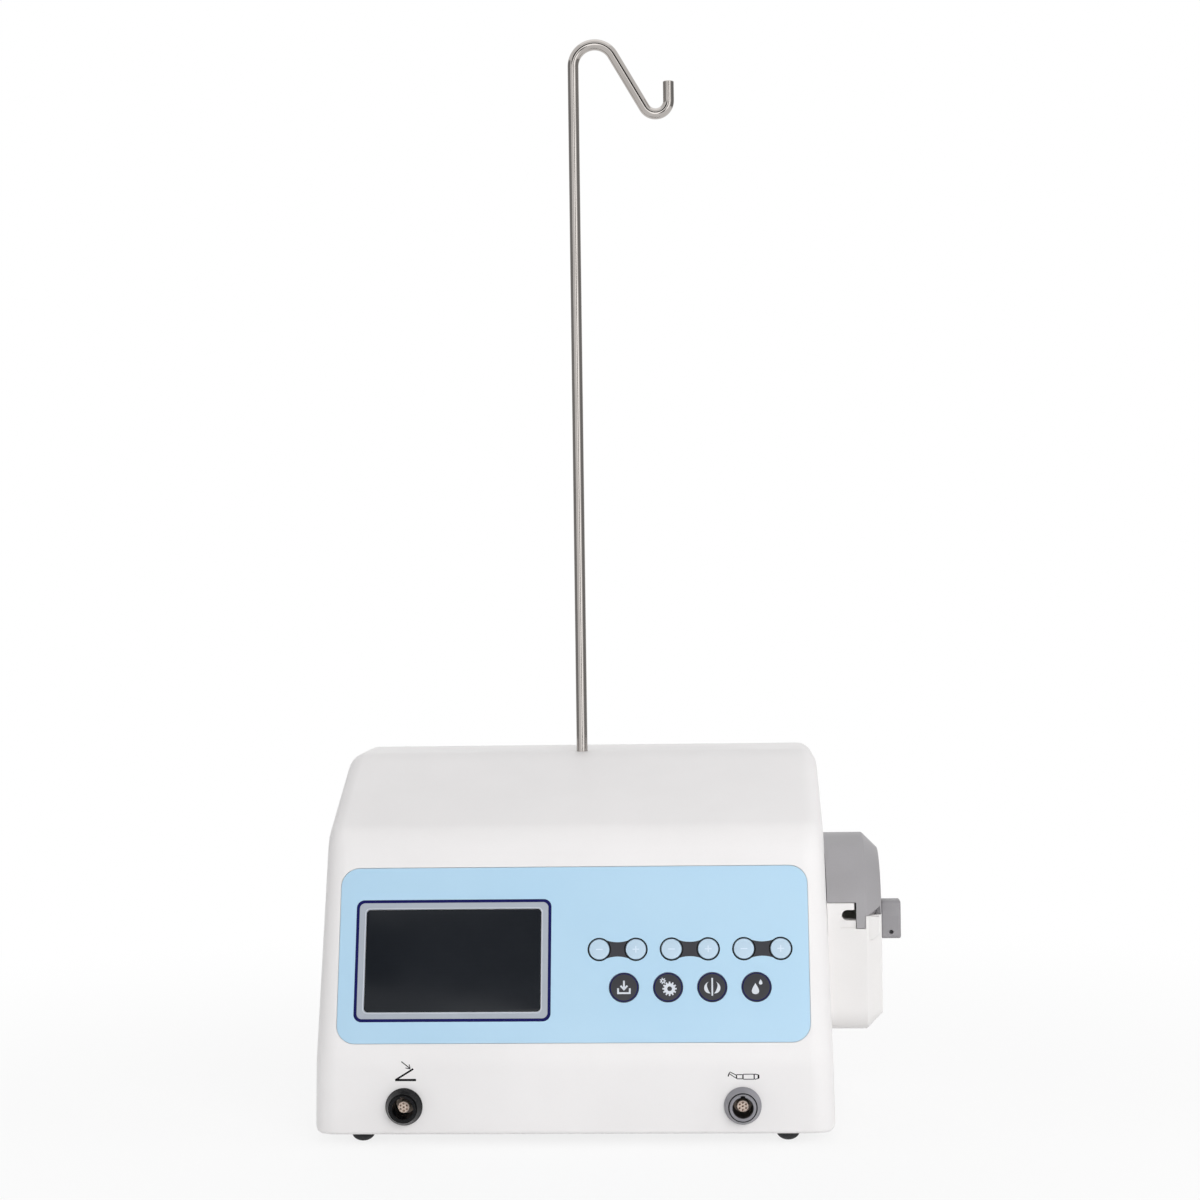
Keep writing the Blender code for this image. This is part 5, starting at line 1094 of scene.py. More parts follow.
@dataclass(frozen=True)
class Sockets(Assembly):
    """The two round push-in sockets in the front band. Heights run out of the front."""

    x: float = 0.089
    z: float = 0.021
    flange: float = 0.0098
    thickness: float = 0.0012
    foot_round: float = 0.0006
    reach: float = 0.0073
    nose: float = 0.0070
    nose_round: float = 0.0005
    nose_drop: float = 0.0010
    groove: float = 0.0007
    groove_drop: float = 0.0012
    groove_floor: float = 0.0022
    mouth_round: float = 0.0004
    keyway: Spot = (0.0012, 0.0064)
    keyway_depth: float = 0.004
    bore: float = 0.0054
    ring_bore: float = 0.0055
    barrel: float = 0.0070
    length: float = 0.014
    lip: float = 0.0017
    lip_radius: float = 0.0040
    seal: Spot = (0.00215, 0.0014)
    seal_gap: float = 0.00003
    sleeve_bore: float = 0.0052
    sleeve_gap: Spot = (0.00002, 0.00005)
    sleeve_drop: float = 0.0006
    tower: float = 0.0030
    tower_top: float = 0.0018
    tower_round: float = 0.00025
    insert_base: float = 0.004
    tail: float = 0.003
    contact_circle: float = 0.0019
    contact_hole: float = 0.00058
    contact_depth: float = 0.0025
    contact_sides: int = 20

    def place(self, side: int) -> Place:
        """A socket's axes, with Z out of the front."""
        return Lie.TO_FRONT.at(side * self.x, 0, self.z)

    def ring_profile(self) -> Array:
        """The ring from its mouth round the nose and its groove, down the cone to the flange and barrel.

        Returns:
            Pairs of radius and height.
        """
        mouth_middle = (self.ring_bore + self.mouth_round, self.reach - self.mouth_round)
        nose_middle = (self.nose - self.nose_round, self.reach - self.nose_round)
        foot_middle = (self.flange - self.foot_round, SEAT + self.thickness - self.foot_round)
        floor, wide, end = self.reach - self.groove_floor, self.nose + self.groove, self.lip - self.length
        parts = (
            arc(self.mouth_round, math.pi, QUARTER, mouth_middle, 5),
            arc(self.nose_round, QUARTER, math.radians(25), nose_middle, 5),
            ((self.nose, self.reach - self.nose_drop), (self.nose, floor)),
            ((wide, floor), (wide, self.reach - self.groove_drop)),
            arc(self.foot_round, math.radians(60), 0, foot_middle, 5),
            ((self.flange, SEAT), (self.barrel, SEAT), (self.barrel, -self.length)),
            ((self.lip_radius, -self.length), (self.lip_radius, end), (self.ring_bore, end)),
        )
        return np.vstack(parts)

    def build(self) -> Iterator[Thing]:
        """Yields both rings with their keyways, the seal, the sleeve and the drilled contact blocks."""
        half, top = self.keyway
        low = self.bore - OVERLAP
        slot = np.array(((-half, low), (half, low), (half, top), (-half, top)))
        for name, side, finish in (("pedal", -1, BLACK_RING), ("motor", 1, GREY_RING)):
            place = self.place(side)
            ring = Form().turned(self.ring_profile(), place, FINE_SIDES, ring=True)
            key = Form().prism(slot, self.reach - self.keyway_depth, self.reach + OVERRUN, place)
            piece = carve(name + "_ring", ring, (Cut.REMOVE, key))
            yield dress(piece, finish, name + "_socket", centre=place.origin)
        near, far = self.nose + self.seal_gap, self.nose + self.groove - self.seal_gap
        floor, face = (self.reach - drop for drop in self.seal)
        ring = ((near, floor), (far, floor), (far, face), (near, face))
        seal = Form().turned(ring, self.place(1), FINE_SIDES, ring=True)
        yield dress(seal.thing("motor_seal"), RUBBER)
        # The sleeve's near-black colour is painted shade deep in the motor socket's bore.
        wide, deep = self.ring_bore - self.sleeve_gap[0], self.lip - self.length + self.sleeve_gap[1]
        front, thin = self.reach - self.sleeve_drop, self.sleeve_bore
        wall = ((thin, deep), (wide, deep), (wide, front), (thin, front - SEAT))
        sleeve = Form().turned(wall, self.place(1), FINE_SIDES, ring=True)
        yield dress(sleeve.thing("motor_sleeve"), SHADE_SLEEVE)
        for name, side in (("pedal", -1), ("motor", 1)):
            yield self.build_insert(name, side)

    def build_insert(self, name: str, side: int) -> Thing:
        """Turns a contact block and drills seven holes, one in the middle of six.

        Args:
            name: whose socket it is.
            side: on which side of the front.

        Returns:
            The contact block.
        """
        low, wide, top = self.lip - self.length + SEAT, self.bore - SEAT, self.tower_top
        base, tail, end = low + self.insert_base, self.lip_radius - SEAT, -self.length - self.tail
        middle = (self.tower - self.tower_round, top - self.tower_round)
        face = arc(self.tower_round, QUARTER, 0, middle, 4)
        steps = ((self.tower, base), (wide, base), (wide, low), (tail, low), (tail, end), (0, end))
        place = self.place(side)
        drill = Form()
        spots = np.vstack([((0, 0),), circle(self.contact_circle, count=6) @ ((0, 1), (-1, 0))])
        for x, y in spots:
            hole = place.moved(x, y, top)
            drill.rod(self.contact_hole, -self.contact_depth, OVERRUN, hole, self.contact_sides)
        blank = Form().turned(np.vstack([((0, top),), face, steps]), place)
        block = carve(name + "_contacts", blank, (Cut.REMOVE, drill))
        return dress(block, CONTACT, name + "_socket_insert")


@dataclass(frozen=True)
class Pole(Assembly):
    """The bent steel rod that holds the bag."""

    radius: float = 0.003175
    y: float = 0.128
    start: float = 0.139
    crook: float = 0.0123
    slant: float = math.radians(59.8)
    slant_length: float = 0.0354
    hook: float = 0.00745
    tip: float = 0.0111
    chamfer: float = 0.0004
    sides: int = 40
    bend_steps: int = 36
    stem_points: int = 30
    slant_points: int = 8
    tip_points: int = 5
    line_stretch: float = 0.02

    def route(self) -> Array:
        """The centre line: straight up, over the crook, down the slant and round the hook.

        Returns:
            Points in X and Z.
        """
        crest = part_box("bag_pole")[1].z - self.radius
        bend = np.array((self.crook, crest - self.crook))
        leave = QUARTER - self.slant
        outwards = np.array((math.cos(leave), math.sin(leave)))
        down = np.array((math.sin(leave), -math.cos(leave)))
        end = bend + outwards * (self.crook + self.hook) + down * self.slant_length
        over = arc(self.crook, math.pi, leave, bend, self.bend_steps)
        under = arc(self.hook, math.pi + leave, 2 * math.pi, end, self.bend_steps)
        rise = np.linspace(self.start, over[0, 1], self.stem_points, endpoint=False)
        slant = np.linspace(over[-1], under[0], self.slant_points)[1:-1]
        tip = np.linspace(under[-1], under[-1] + (0, self.tip), self.tip_points)[1:]
        return np.vstack([np.stack([np.zeros_like(rise), rise], -1), over, slant, under, tip])

    def build(self) -> Iterator[Thing]:
        """Yields the rod: a circle carried along the route, with both ends chamfered.

        Its attribute holds each point's place round the section, and the length along the rod,
        pressed together so that the grain becomes long lines.
        """
        line = self.route()
        ends = unit(np.stack([line[1] - line[0], line[-1] - line[-2]])) * self.chamfer
        line = np.vstack([line[:1], line[:1] + ends[:1], line[1:-1], line[-1:] - ends[1:], line[-1:]])
        along = unit(np.gradient(line, axis=0))
        aside = np.stack([along[:, 1], -along[:, 0]], -1)
        radius = np.full(len(line), self.radius)
        radius[[0, -1]] -= self.chamfer
        flat = radius[:, None, None] * circle(1, count=self.sides)
        x = line[:, None, 0] + flat[..., 0] * aside[:, None, 0]
        z = line[:, None, 1] + flat[..., 0] * aside[:, None, 1]
        piece = Form().rows(np.stack([x, self.y + flat[..., 1], z], -1)).thing("bent_rod")
        length = np.concatenate([[0], np.cumsum(np.linalg.norm(np.diff(line, axis=0), axis=1))])
        lines = raised(flat, self.line_stretch * length[:, None, None])
        drawn = piece.data.attributes.new("drawn", "FLOAT_VECTOR", "POINT")
        drawn.data.foreach_set("vector", lines.astype(np.float32).ravel())
        yield dress(piece, STEEL_ROD, "bag_pole", crease=40, body="bag_pole")


@dataclass(frozen=True)
class Pump(Assembly):
    """The peristaltic pump beside the body: a white housing under a grey hinged cover."""

    shell: Shell
    y: float = 0.085
    z: float = 0.110
    radius: float = 0.045
    bottom: float = 0.052
    corner: float = 0.012
    chamfer: float = 0.0085
    chamfer_ease: float = 0.0012
    chamfer_steps: int = 6
    side_rim: float = 0.003
    wall: float = 0.003
    side_wall: float = 0.0055
    split: float = 0.1214
    track: float = 0.0355
    chamber: float = 0.021
    cover_gap: float = 0.0005
    leg_width: float = 0.0048
    leg_drop: float = 0.0137
    leg_thickness: float = 0.0043
    apron_drop: float = 0.0070
    apron_depth: float = 0.035
    slot_start: float = 0.0047
    slot_width: float = 0.0078
    slot_height: float = 0.0057
    slot_z: float = 0.1147
    slit: float = 0.0011
    recess_depth: float = 0.001
    recess_height: float = 0.0042
    boss: Point = (0.0077, 0.012, 0.0125)
    boss_slant: float = 0.003
    boss_setback: float = 0.001
    boss_corner: float = 0.0006
    boss_ease: float = 0.0004
    notch_rise: float = 0.0052
    notch_margin: Spot = (0.0006, 0.0004)
    notch_depth: Point = (-0.0034, 0.0034, -0.0002)
    notch_proud: float = 0.35
    shaft_hole: float = 0.006
    hinge_back: float = 0.003
    hinge_root: float = 0.010
    hinge_inset: float = 0.0011
    hinge_middle: float = 0.0108
    web: float = 0.006
    knuckle: float = 0.004
    knuckle_width: float = 0.0052
    pin: float = 0.0015
    lever_y: float = 0.062
    lever_z: float = 0.1036
    spindle: float = 0.0028
    spindle_length: float = 0.003

    @property
    def face(self) -> float:
        """X of the face beside the body's wall."""
        return float(self.shell.half_at(self.z)) + SEAT

    @property
    def inner(self) -> float:
        """X of the chamber's inner wall."""
        return self.face + self.wall

    @property
    def outer(self) -> float:
        """X of the pump's outer side."""
        return self.inner + self.chamber + self.side_wall

    @property
    def front(self) -> float:
        """Y of the pump's front."""
        return self.y - self.radius

    @property
    def leg_x(self) -> float:
        """X where the tube slot ends and the cover's leg starts."""
        return self.inner + self.slot_start + self.slot_width

    @property
    def apron_x(self) -> float:
        """X where the cover's apron starts."""
        return self.leg_x + self.leg_width

    @property
    def hinge(self) -> Spot:
        """Y and Z of the cover's hinge."""
        return self.y + self.radius + self.hinge_back, self.split

    def outline(self, inset: Array) -> Array:
        """The pump from its side: an arch over straight sides and two round corners.

        Args:
            inset: how far the outline draws in, for each section.

        Returns:
            Points in Y and Z, shaped (sections, points, 2).
        """
        inset = np.asarray(inset, float)[:, None]
        half = self.radius - inset
        corner = np.maximum(self.corner - inset, self.corner / 4)
        low = self.bottom + inset + corner
        left = math.pi + np.linspace(0, QUARTER, ARC_STEPS + 1)
        right = left + QUARTER
        arch = np.linspace(0, math.pi, 5 * ARC_STEPS + 1)
        edge = half - corner
        y = (corner * np.cos(left) - edge, corner * np.cos(right) + edge, half * np.cos(arch))
        z = (low + corner * np.sin(left), low + corner * np.sin(right), self.z + half * np.sin(arch))
        return np.stack([self.y + np.concatenate(y, 1), np.concatenate(z, 1)], -1)

    def body(self, gap: float) -> Form:
        """The whole pump's outer form, with a bevel whose two edges are eased.

        Args:
            gap: distance from the body's wall.

        Returns:
            The form: outlines that draw in along a rounded run of X and inset.
        """
        start, bevel, points = self.outer - self.chamfer, self.chamfer, self.chamfer_steps + 1
        run = np.array(((self.face, 0), (start, 0), (self.outer, bevel), (self.outer, 3 * bevel)))
        eased = rounded(run, self.chamfer_ease, self.chamfer_steps)[points : 3 * points]
        eased = np.vstack([((0, 0),), eased, ((self.outer, bevel + self.side_rim),)])
        outline = self.outline(eased[:, 1])
        x = np.broadcast_to(eased[:, :1], outline.shape[:2]).copy()
        x[0] = self.shell.half_at(outline[0, :, 1]) + gap
        return Form().rows(np.concatenate([x[..., None], outline], -1))

    def cover_space(self, name: str, grow: float) -> Thing:
        """The space of the cover: all above the split, the leg in front and the apron outside.

        Args:
            name: the space's name.
            grow: a gap all round.

        Returns:
            A solid to cut with.
        """
        near, far, top = self.front - OVERRUN, self.outer + OVERRUN, self.z + self.radius + OVERRUN
        main = Form().box((0, near, self.split - grow), (far, self.hinge[0], top))
        leg = Form().box(
            (self.leg_x - grow, near - OVERRUN, self.split - self.leg_drop - grow),
            (self.apron_x + grow, self.front + self.leg_thickness + grow, self.split + OVERLAP),
        )
        apron = Form().box(
            (self.apron_x - OVERLAP, near - 2 * OVERRUN, self.split - self.apron_drop - grow),
            (far + OVERRUN, self.front + self.apron_depth + grow, self.split + 2 * OVERLAP),
        )
        return carve(name, main, (Cut.ADD, leg), (Cut.ADD, apron))

    def chamber_form(self) -> Form:
        """The round chamber that the rotor turns in."""
        track, place = circle(self.track, count=FINE_SIDES), Lie.TO_RIGHT.at(0, self.y, self.z)
        return Form().prism(track, self.inner, self.inner + self.chamber, place)

    def spans(self) -> list[Spot]:
        """Where along X the housing's first eye, the cover's eye and the housing's last eye lie.

        Returns:
            Each eye's start and end.
        """
        first = self.face + self.hinge_inset
        middle = first + self.knuckle_width + SEAT
        last = middle + self.hinge_middle + SEAT
        widths = (self.knuckle_width, self.hinge_middle, self.knuckle_width)
        return [(start, start + width) for start, width in zip((first, middle, last), widths)]

    def eye(self, side: int) -> Array:
        """A hinge eye with its web to the pump's rear wall.

        Args:
            side: whether the web lies above (1) or below (-1) the hinge.

        Returns:
            Points in Y and Z: a round that ends where the web's slanted edge touches it.
        """
        start = math.pi - math.asin(SEAT / self.knuckle)
        slant = math.atan2(self.web, self.hinge_root)
        touch = math.acos(self.knuckle / math.hypot(self.web, self.hinge_root))
        round_part = arc(self.knuckle, start, 3 * math.pi - slant - touch)
        points = np.vstack([round_part, ((-self.hinge_root, self.web), (-self.hinge_root, SEAT))])
        return np.array(self.hinge) + points * (1, side)

    def pin_hole(self) -> Form:
        """The hole for the hinge pin through all three eyes."""
        ends = (self.spans()[0][0] - SEAT, self.spans()[2][1] + OVERRUN)
        return Form().rod(self.pin + SEAT, *ends, Lie.TO_RIGHT.at(0, *self.hinge), SMALL_SIDES)

    def slot_outline(self) -> Array:
        """The tube slot from the front: round at one end, closed by the leg at the other.

        Returns:
            Points in X and Z.
        """
        radius, end = self.slot_height / 2, self.leg_x + SEAT
        bend = arc(radius, QUARTER, 1.5 * math.pi, (self.inner + self.slot_start + radius, self.slot_z))
        return np.vstack([bend, ((end, self.slot_z - radius), (end, self.slot_z + radius))])

    def notch(self) -> Form:
        """The finger notch in the apron's bevel: a three-cornered dip, deepest at its lower edge.

        Returns:
            A pyramid whose rim stands proud of the bevel.
        """
        low, start = self.split - self.apron_drop, self.outer - self.chamfer
        near, far = start + self.notch_margin[0], self.outer - self.notch_margin[1]
        x, z = np.array((near, far, far)), np.array((low, low, low + self.notch_rise))
        face = np.stack([x, self.front + x - start, z], -1)
        deep = face[1] + np.array(self.notch_depth)
        rim = face + self.notch_proud * (face - deep)
        return Form().rows(np.stack([rim, np.repeat(deep[None], 3, 0)]))

    def build(self) -> Iterator[Thing]:
        """Yields the housing, the cover and the pin between them."""
        yield self.build_housing()
        eye = Form().prism(self.eye(1), *self.spans()[1], Lie.SIDE_ON.at())
        cover = carve(
            "grey_pump_cover",
            self.body(self.cover_gap),
            (Cut.KEEP, self.cover_space("cover_body", 0)),
            (Cut.REMOVE, self.chamber_form()),
            (Cut.ADD, eye),
            (Cut.REMOVE, self.pin_hole()),
            (Cut.REMOVE, self.notch()),
        )
        yield dress(cover, GREY_ABS, "pump_cover", body="pump_cover")
        ends = (self.spans()[0][0], self.spans()[2][1])
        rod = Form().pin(self.pin, ends, SEAT, Lie.TO_RIGHT.at(0, *self.hinge))
        yield dress(rod.thing("hinge_rod"), STEEL, "cover_pin")

    def build_housing(self) -> Thing:
        """The white lower part: chamber, tube slots, boss, hinge eyes and spindle hole.

        Returns:
            The housing.
        """
        width, depth, height = self.boss
        front = self.front + self.boss_setback
        high = self.split - self.apron_drop - 2 * SEAT
        low, start, end = high - height, self.apron_x, self.apron_x + width
        foot = ((start, low), (start + width / 2, low), (end, low + self.boss_slant))
        rim = (*foot, (end, high), (start, high))
        lying = Lie.TO_FRONT.at()
        shape = rounded(rim, self.boss_corner, 4)
        boss = Form().prism(shape, -front - depth, -front, lying, (0, self.boss_ease))
        eyes = Form()
        for span in (self.spans()[0], self.spans()[2]):
            eyes.prism(self.eye(-1), *span, Lie.SIDE_ON.at())
        near, rear = self.front - OVERRUN, self.y + self.radius + OVERRUN
        holes = Form().prism(self.slot_outline(), -self.y, -near, lying)
        holes.prism(self.slot_outline(), -rear, -self.y - OVERRUN, lying)
        shaft = Lie.TO_RIGHT.at(self.face, self.y, self.z)
        holes.rod(self.shaft_hole, -OVERRUN, self.wall + OVERRUN, shaft)
        spindle = Lie.TO_RIGHT.at(self.outer, self.lever_y, self.lever_z)
        holes.rod(self.spindle + SEAT, -self.spindle_length - SEAT, OVERRUN, spindle)
        top = self.slot_z - self.slot_height / 2 + SEAT
        recess = Form().box(
            (self.inner + self.slot_start - self.recess_depth, near, top - self.recess_height),
            (self.leg_x + SEAT, self.front + self.recess_depth, top),
        )
        recess.box(
            (self.leg_x - self.slit, near, self.slot_z),
            (self.leg_x + SEAT / 2, self.y - self.track + OVERRUN, self.split),
        )
        piece = carve(
            "white_pump_housing",
            self.body(SEAT),
            (Cut.REMOVE, self.cover_space("cover_room", SEAT)),
            (Cut.REMOVE, self.chamber_form()),
            (Cut.ADD, boss),
            (Cut.ADD, eyes),
            (Cut.REMOVE, self.pin_hole()),
            (Cut.REMOVE, holes),
            (Cut.REMOVE, recess),
        )
        return dress(piece, PUMP_ABS_PAINTED_SHADE, "pump_housing")


@dataclass(frozen=True)
class Latch(Assembly):
    """The lever on the pump's outer side."""

    pump: Pump
    thickness: float = 0.0105
    depth: float = 0.014
    rise: float = 0.0168
    drop: float = 0.0036
    corner: float = 0.0018
    ease: float = 0.0009
    bend: float = 0.0086
    lean: float = 0.0011
    crease: float = 0.003
    screw_hole: float = 0.00105
    screw_depth: float = 0.0053
    screw_sink: float = 0.0006

    def build(self) -> Iterator[Thing]:
        """Yields the lever, a rounded block whose front leans back above a bend, and its set screw."""
        pump, half = self.pump, self.depth / 2
        foot = ((-half, -self.drop), (half, -self.drop))
        head = ((half, self.rise), (-half + self.lean, self.rise), (-half, self.bend))
        outline = rounded((*foot, *head), (*[self.corner] * 4, self.crease))
        x, y, z = pump.outer + SEAT, pump.lever_y, pump.lever_z
        ease = (self.ease, self.ease)
        block = Form().prism(outline, 0, self.thickness, Lie.SIDE_ON.at(x, y, z), ease)
        axis = Lie.TO_RIGHT.at(x, y, z)
        spindle = Form().rod(pump.spindle, -pump.spindle_length, self.thickness / 4, axis)
        hole, deep, rim = self.screw_hole, half - self.screw_depth, half + SEAT
        profile = ((0, deep), (hole, deep), (hole, half - SEAT), (hole + self.screw_sink, rim), (0, rim))
        drill = Form().turned(profile, Lie.TO_FRONT.at(x + self.thickness / 2, y, z), SMALL_SIDES)
        lever = carve("grey_lever", block, (Cut.ADD, spindle), (Cut.REMOVE, drill))
        yield dress(lever, LEVER_ABS, "latch_lever", body="latch_lever")
        yield from repaint(BLACK_NYLON, "latch_screw")


@dataclass(frozen=True)
class Drive(Assembly):
    """What turns under the cover: a rotor with three rollers on pins."""

    pump: Pump
    width: float = 0.017
    plate: float = 0.0026
    rim: float = 0.029
    hub: float = 0.008
    dish: float = 0.0072
    edge: float = 0.0005
    shaft: float = 0.003
    socket: float = 0.010
    pitch: float = 0.025
    roller: float = 0.007
    pin: float = 0.002
    count: int = 3

    def build(self) -> Iterator[Thing]:
        """Yields the rollers, their axles and the rotor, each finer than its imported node."""
        pump = self.pump
        place = Lie.TO_RIGHT.at(pump.inner + (pump.chamber - self.width) / 2, pump.y, pump.z)
        ends = (self.plate + SEAT, self.width - self.plate - SEAT)
        hole, drill = self.pin + SEAT, Form()
        for number in range(self.count):
            angle = QUARTER + 2 * math.pi * number / self.count
            spot = place.moved(-self.pitch * math.sin(angle), self.pitch * math.cos(angle))
            drill.rod(hole, -OVERRUN, self.width + OVERRUN, spot, SMALL_SIDES)
            node = f"roller_{number + 1}"
            roller = Form().pin(self.roller, ends, self.edge, spot, MIDDLE_SIDES, hole)
            yield dress(roller.thing(node + "_tyre"), BLACK_NYLON, node, body=node)
            axle = Form().pin(self.pin, (0, self.width), SEAT, spot)
            yield dress(axle.thing(node + "_axle"), STEEL, f"roller_pin_{number + 1}", body="pump_rotor")
        blank = Form().turned(self.profile(), place, FINE_SIDES)
        rotor = carve("pale_rotor", blank, (Cut.REMOVE, drill))
        yield dress(rotor, PALE_NYLON, "pump_rotor", body="pump_rotor")
        yield from repaint(STEEL, "rotor_shaft")

    def profile(self) -> Array:
        """The rotor from its shaft's socket out over one plate, in to the hub and over the other plate.

        Returns:
            Pairs of radius and height.
        """
        bore, end, edge = self.shaft + SEAT, self.socket + SEAT, self.edge
        far, wide = self.width - self.plate, self.width
        near_plate = ((self.rim - edge, 0), (self.rim, edge), (self.rim, self.plate))
        waist = ((self.hub, self.plate), (self.hub, far))
        far_plate = ((self.rim, far), (self.rim, wide - edge), (self.rim - edge, wide))
        middle = ((self.dish, wide), (self.dish - edge, wide - edge), (0, wide - edge))
        return np.array(((0, end), (bore, end), (bore, 0), *near_plate, *waist, *far_plate, *middle))


@dataclass(frozen=True)
class Fitting:
    """A fitting that snaps into the rear panel: its place, flange size, rim, corner and depth."""

    x: float
    width: float
    height: float
    rim: float
    corner: float
    depth: float

    def outline(self, inset: float, corner: float) -> Array:
        """Its outline from behind, drawn in by an inset."""
        return rectangle(self.width, self.height, corner, (self.x, 0), -inset)


@dataclass(frozen=True)
class Rear(Assembly):
    """The rear panel with its vents, mains inlet, fuse drawer and switch."""

    shell: Shell
    middle: float = 0.062
    opening_width: float = 0.176
    opening_height: float = 0.070
    margin: float = 0.007
    thickness: float = 0.002
    corner: float = 0.004
    panel_ease: float = 0.0005
    screw_hole: float = 0.0018
    vent: Point = (0.003, 0.040, 0.00144)
    vent_pitch: float = 0.008
    vent_count: int = 7
    vent_x: float = -0.040
    flange: float = 0.0022
    flange_ease: float = 0.0006
    hole_corner: float = 0.002
    inlet: Fitting = Fitting(0.058, 0.031, 0.042, 0.002, 0.003, 0.022)
    coupler: Spot = (0.0246, 0.0166)
    coupler_bevel: float = 0.0045
    coupler_corner: float = 0.0008
    coupler_depth: float = 0.016
    coupler_rise: float = 0.0085
    blade: Point = (0.002, 0.004, 0.0004)
    blade_ease: float = 0.0006
    blade_gap: float = 0.00005
    blade_length: float = 0.010
    blade_spots: tuple[Spot, ...] = ((-0.007, -0.0015), (0, 0.003), (0.007, -0.0015))
    fuse: Spot = (0.022, 0.009)
    fuse_corner: float = 0.0004
    fuse_slot_corner: float = 0.0005
    fuse_depth: float = 0.017
    fuse_drop: float = 0.0125
    fuse_face: float = 0.0014
    fuse_face_corner: float = 0.0012
    fuse_face_ease: float = 0.0005
    fuse_margin: float = 0.0009
    grip: Point = (0.009, 0.0022, 0.0009)
    grip_rise: float = 0.0032
    grip_floor: float = 0.0009
    switch: Fitting = Fitting(0.018, 0.021, 0.030, 0.0015, 0.002, 0.016)
    well_depth: float = 0.012
    well_corner: float = 0.0004
    rocker_width: float = 0.0119
    rocker_length: float = 0.0208
    rocker_tilt: float = math.radians(8)
    rocker_proud: float = 0.003
    rocker_hollow: float = 0.001
    rocker_keel: float = 0.005
    rocker_ease: float = 0.0003
    keel_length: float = 0.008
    pivot_depth: float = 0.001
    pivot_pin: float = 0.0012
    pivot_length: float = 0.0015
    line_mark: Spot = (0.0048, 0.0082)
    line_width: float = 0.0007
    ring_mark: Spot = (0.0021, 0.0015)
    ring_drop: float = 0.0066
    mark_heights: Spot = (0.00001, 0.00005)

    @property
    def place(self) -> Place:
        """The rear wall's axes: X to the left seen from the front, Y up, Z out of the rear."""
        return Lie.TO_REAR.at(0, self.shell.depth, self.middle)

    @property
    def seat(self) -> float:
        """Where what sits on the rear panel starts, from the rear wall."""
        return self.thickness + 2 * SEAT

    @property
    def opening(self) -> Array:
        """The outline of the opening in the rear wall."""
        return rectangle(self.opening_width, self.opening_height, self.corner)

    def screw_spots(self) -> list[Spot]:
        """Where the panel's four screws stand, on the rear wall's axes."""
        x, y = (self.opening_width + self.margin) / 2, (self.opening_height + self.margin) / 2
        return [(i * x, j * y) for j in (1, -1) for i in (-1, 1)]

    def build(self) -> Iterator[Thing]:
        """Yields the panel and everything that sits in it."""
        place, high = self.place, SEAT + self.thickness
        outline = rectangle(self.opening_width, self.opening_height, self.corner, grow=self.margin)
        plate = Form().prism(outline, SEAT, high, place, (0, self.panel_ease))
        through = (-OVERRUN, high + OVERRUN)
        holes = Form()
        for fitting in (self.inlet, self.switch):
            holes.prism(fitting.outline(fitting.rim - SEAT, self.hole_corner), *through, place)
        for number in range(self.vent_count):
            x = self.vent_x + (number - (self.vent_count - 1) / 2) * self.vent_pitch
            holes.prism(rectangle(*self.vent, (x, 0)), *through, place)
        for spot in self.screw_spots():
            holes.rod(self.screw_hole, *through, place.moved(*spot), SMALL_SIDES)
        panel = carve("grey_rear_panel", plate, (Cut.REMOVE, holes))
        yield dress(panel, GREY_ABS, "rear_panel")
        yield from self.build_inlet()
        yield from self.build_fuse()
        yield from self.build_switch()

    def fitting_forms(self, fitting: Fitting) -> tuple[Form, Form]:
        """The flange of a fitting and the stem that goes through the panel.

        Args:
            fitting: its sizes.

        Returns:
            Both forms, which reach into each other.
        """
        rim, core = fitting.outline(0, fitting.corner), fitting.outline(fitting.rim, fitting.corner)
        low, high, middle = self.seat, self.seat + self.flange, self.seat + self.flange / 2
        flange = Form().prism(rim, low, high, self.place, (0, self.flange_ease))
        return flange, Form().prism(core, low - fitting.depth, middle, self.place)

    def build_inlet(self) -> Iterator[Thing]:
        """Yields the mains inlet's block and its three blades."""
        face, floor = self.seat + self.flange, self.seat + self.flange - self.coupler_depth
        x, y = np.array(self.coupler) / 2
        bevel, middle = self.coupler_bevel, np.array((self.inlet.x, self.coupler_rise))
        sides = ((-x, -y), (x, -y), (x, y - bevel))
        corners = np.array((*sides, (x - bevel, y), (bevel - x, y), (-x, y - bevel)))
        mouth = rounded(corners + middle, self.coupler_corner, 4)
        recess = Form().prism(mouth, floor, face + OVERRUN, self.place)
        slot = rectangle(*self.fuse, self.fuse_slot_corner, (self.inlet.x, -self.fuse_drop), SEAT)
        recess.prism(slot, face - self.fuse_depth - SEAT, face + OVERRUN, self.place)
        flange, stem = self.fitting_forms(self.inlet)
        block = carve("mains_inlet_block", flange, (Cut.ADD, stem), (Cut.REMOVE, recess))
        yield dress(block, BLACK_NYLON, "mains_inlet")
        blades = Form()
        for spot in self.blade_spots:
            shape = rectangle(*self.blade, middle + spot)
            low, high = floor + self.blade_gap, floor + self.blade_length
            blades.prism(shape, low, high, self.place, (0, self.blade_ease))
        yield dress(blades.thing("mains_blades"), PLATED)

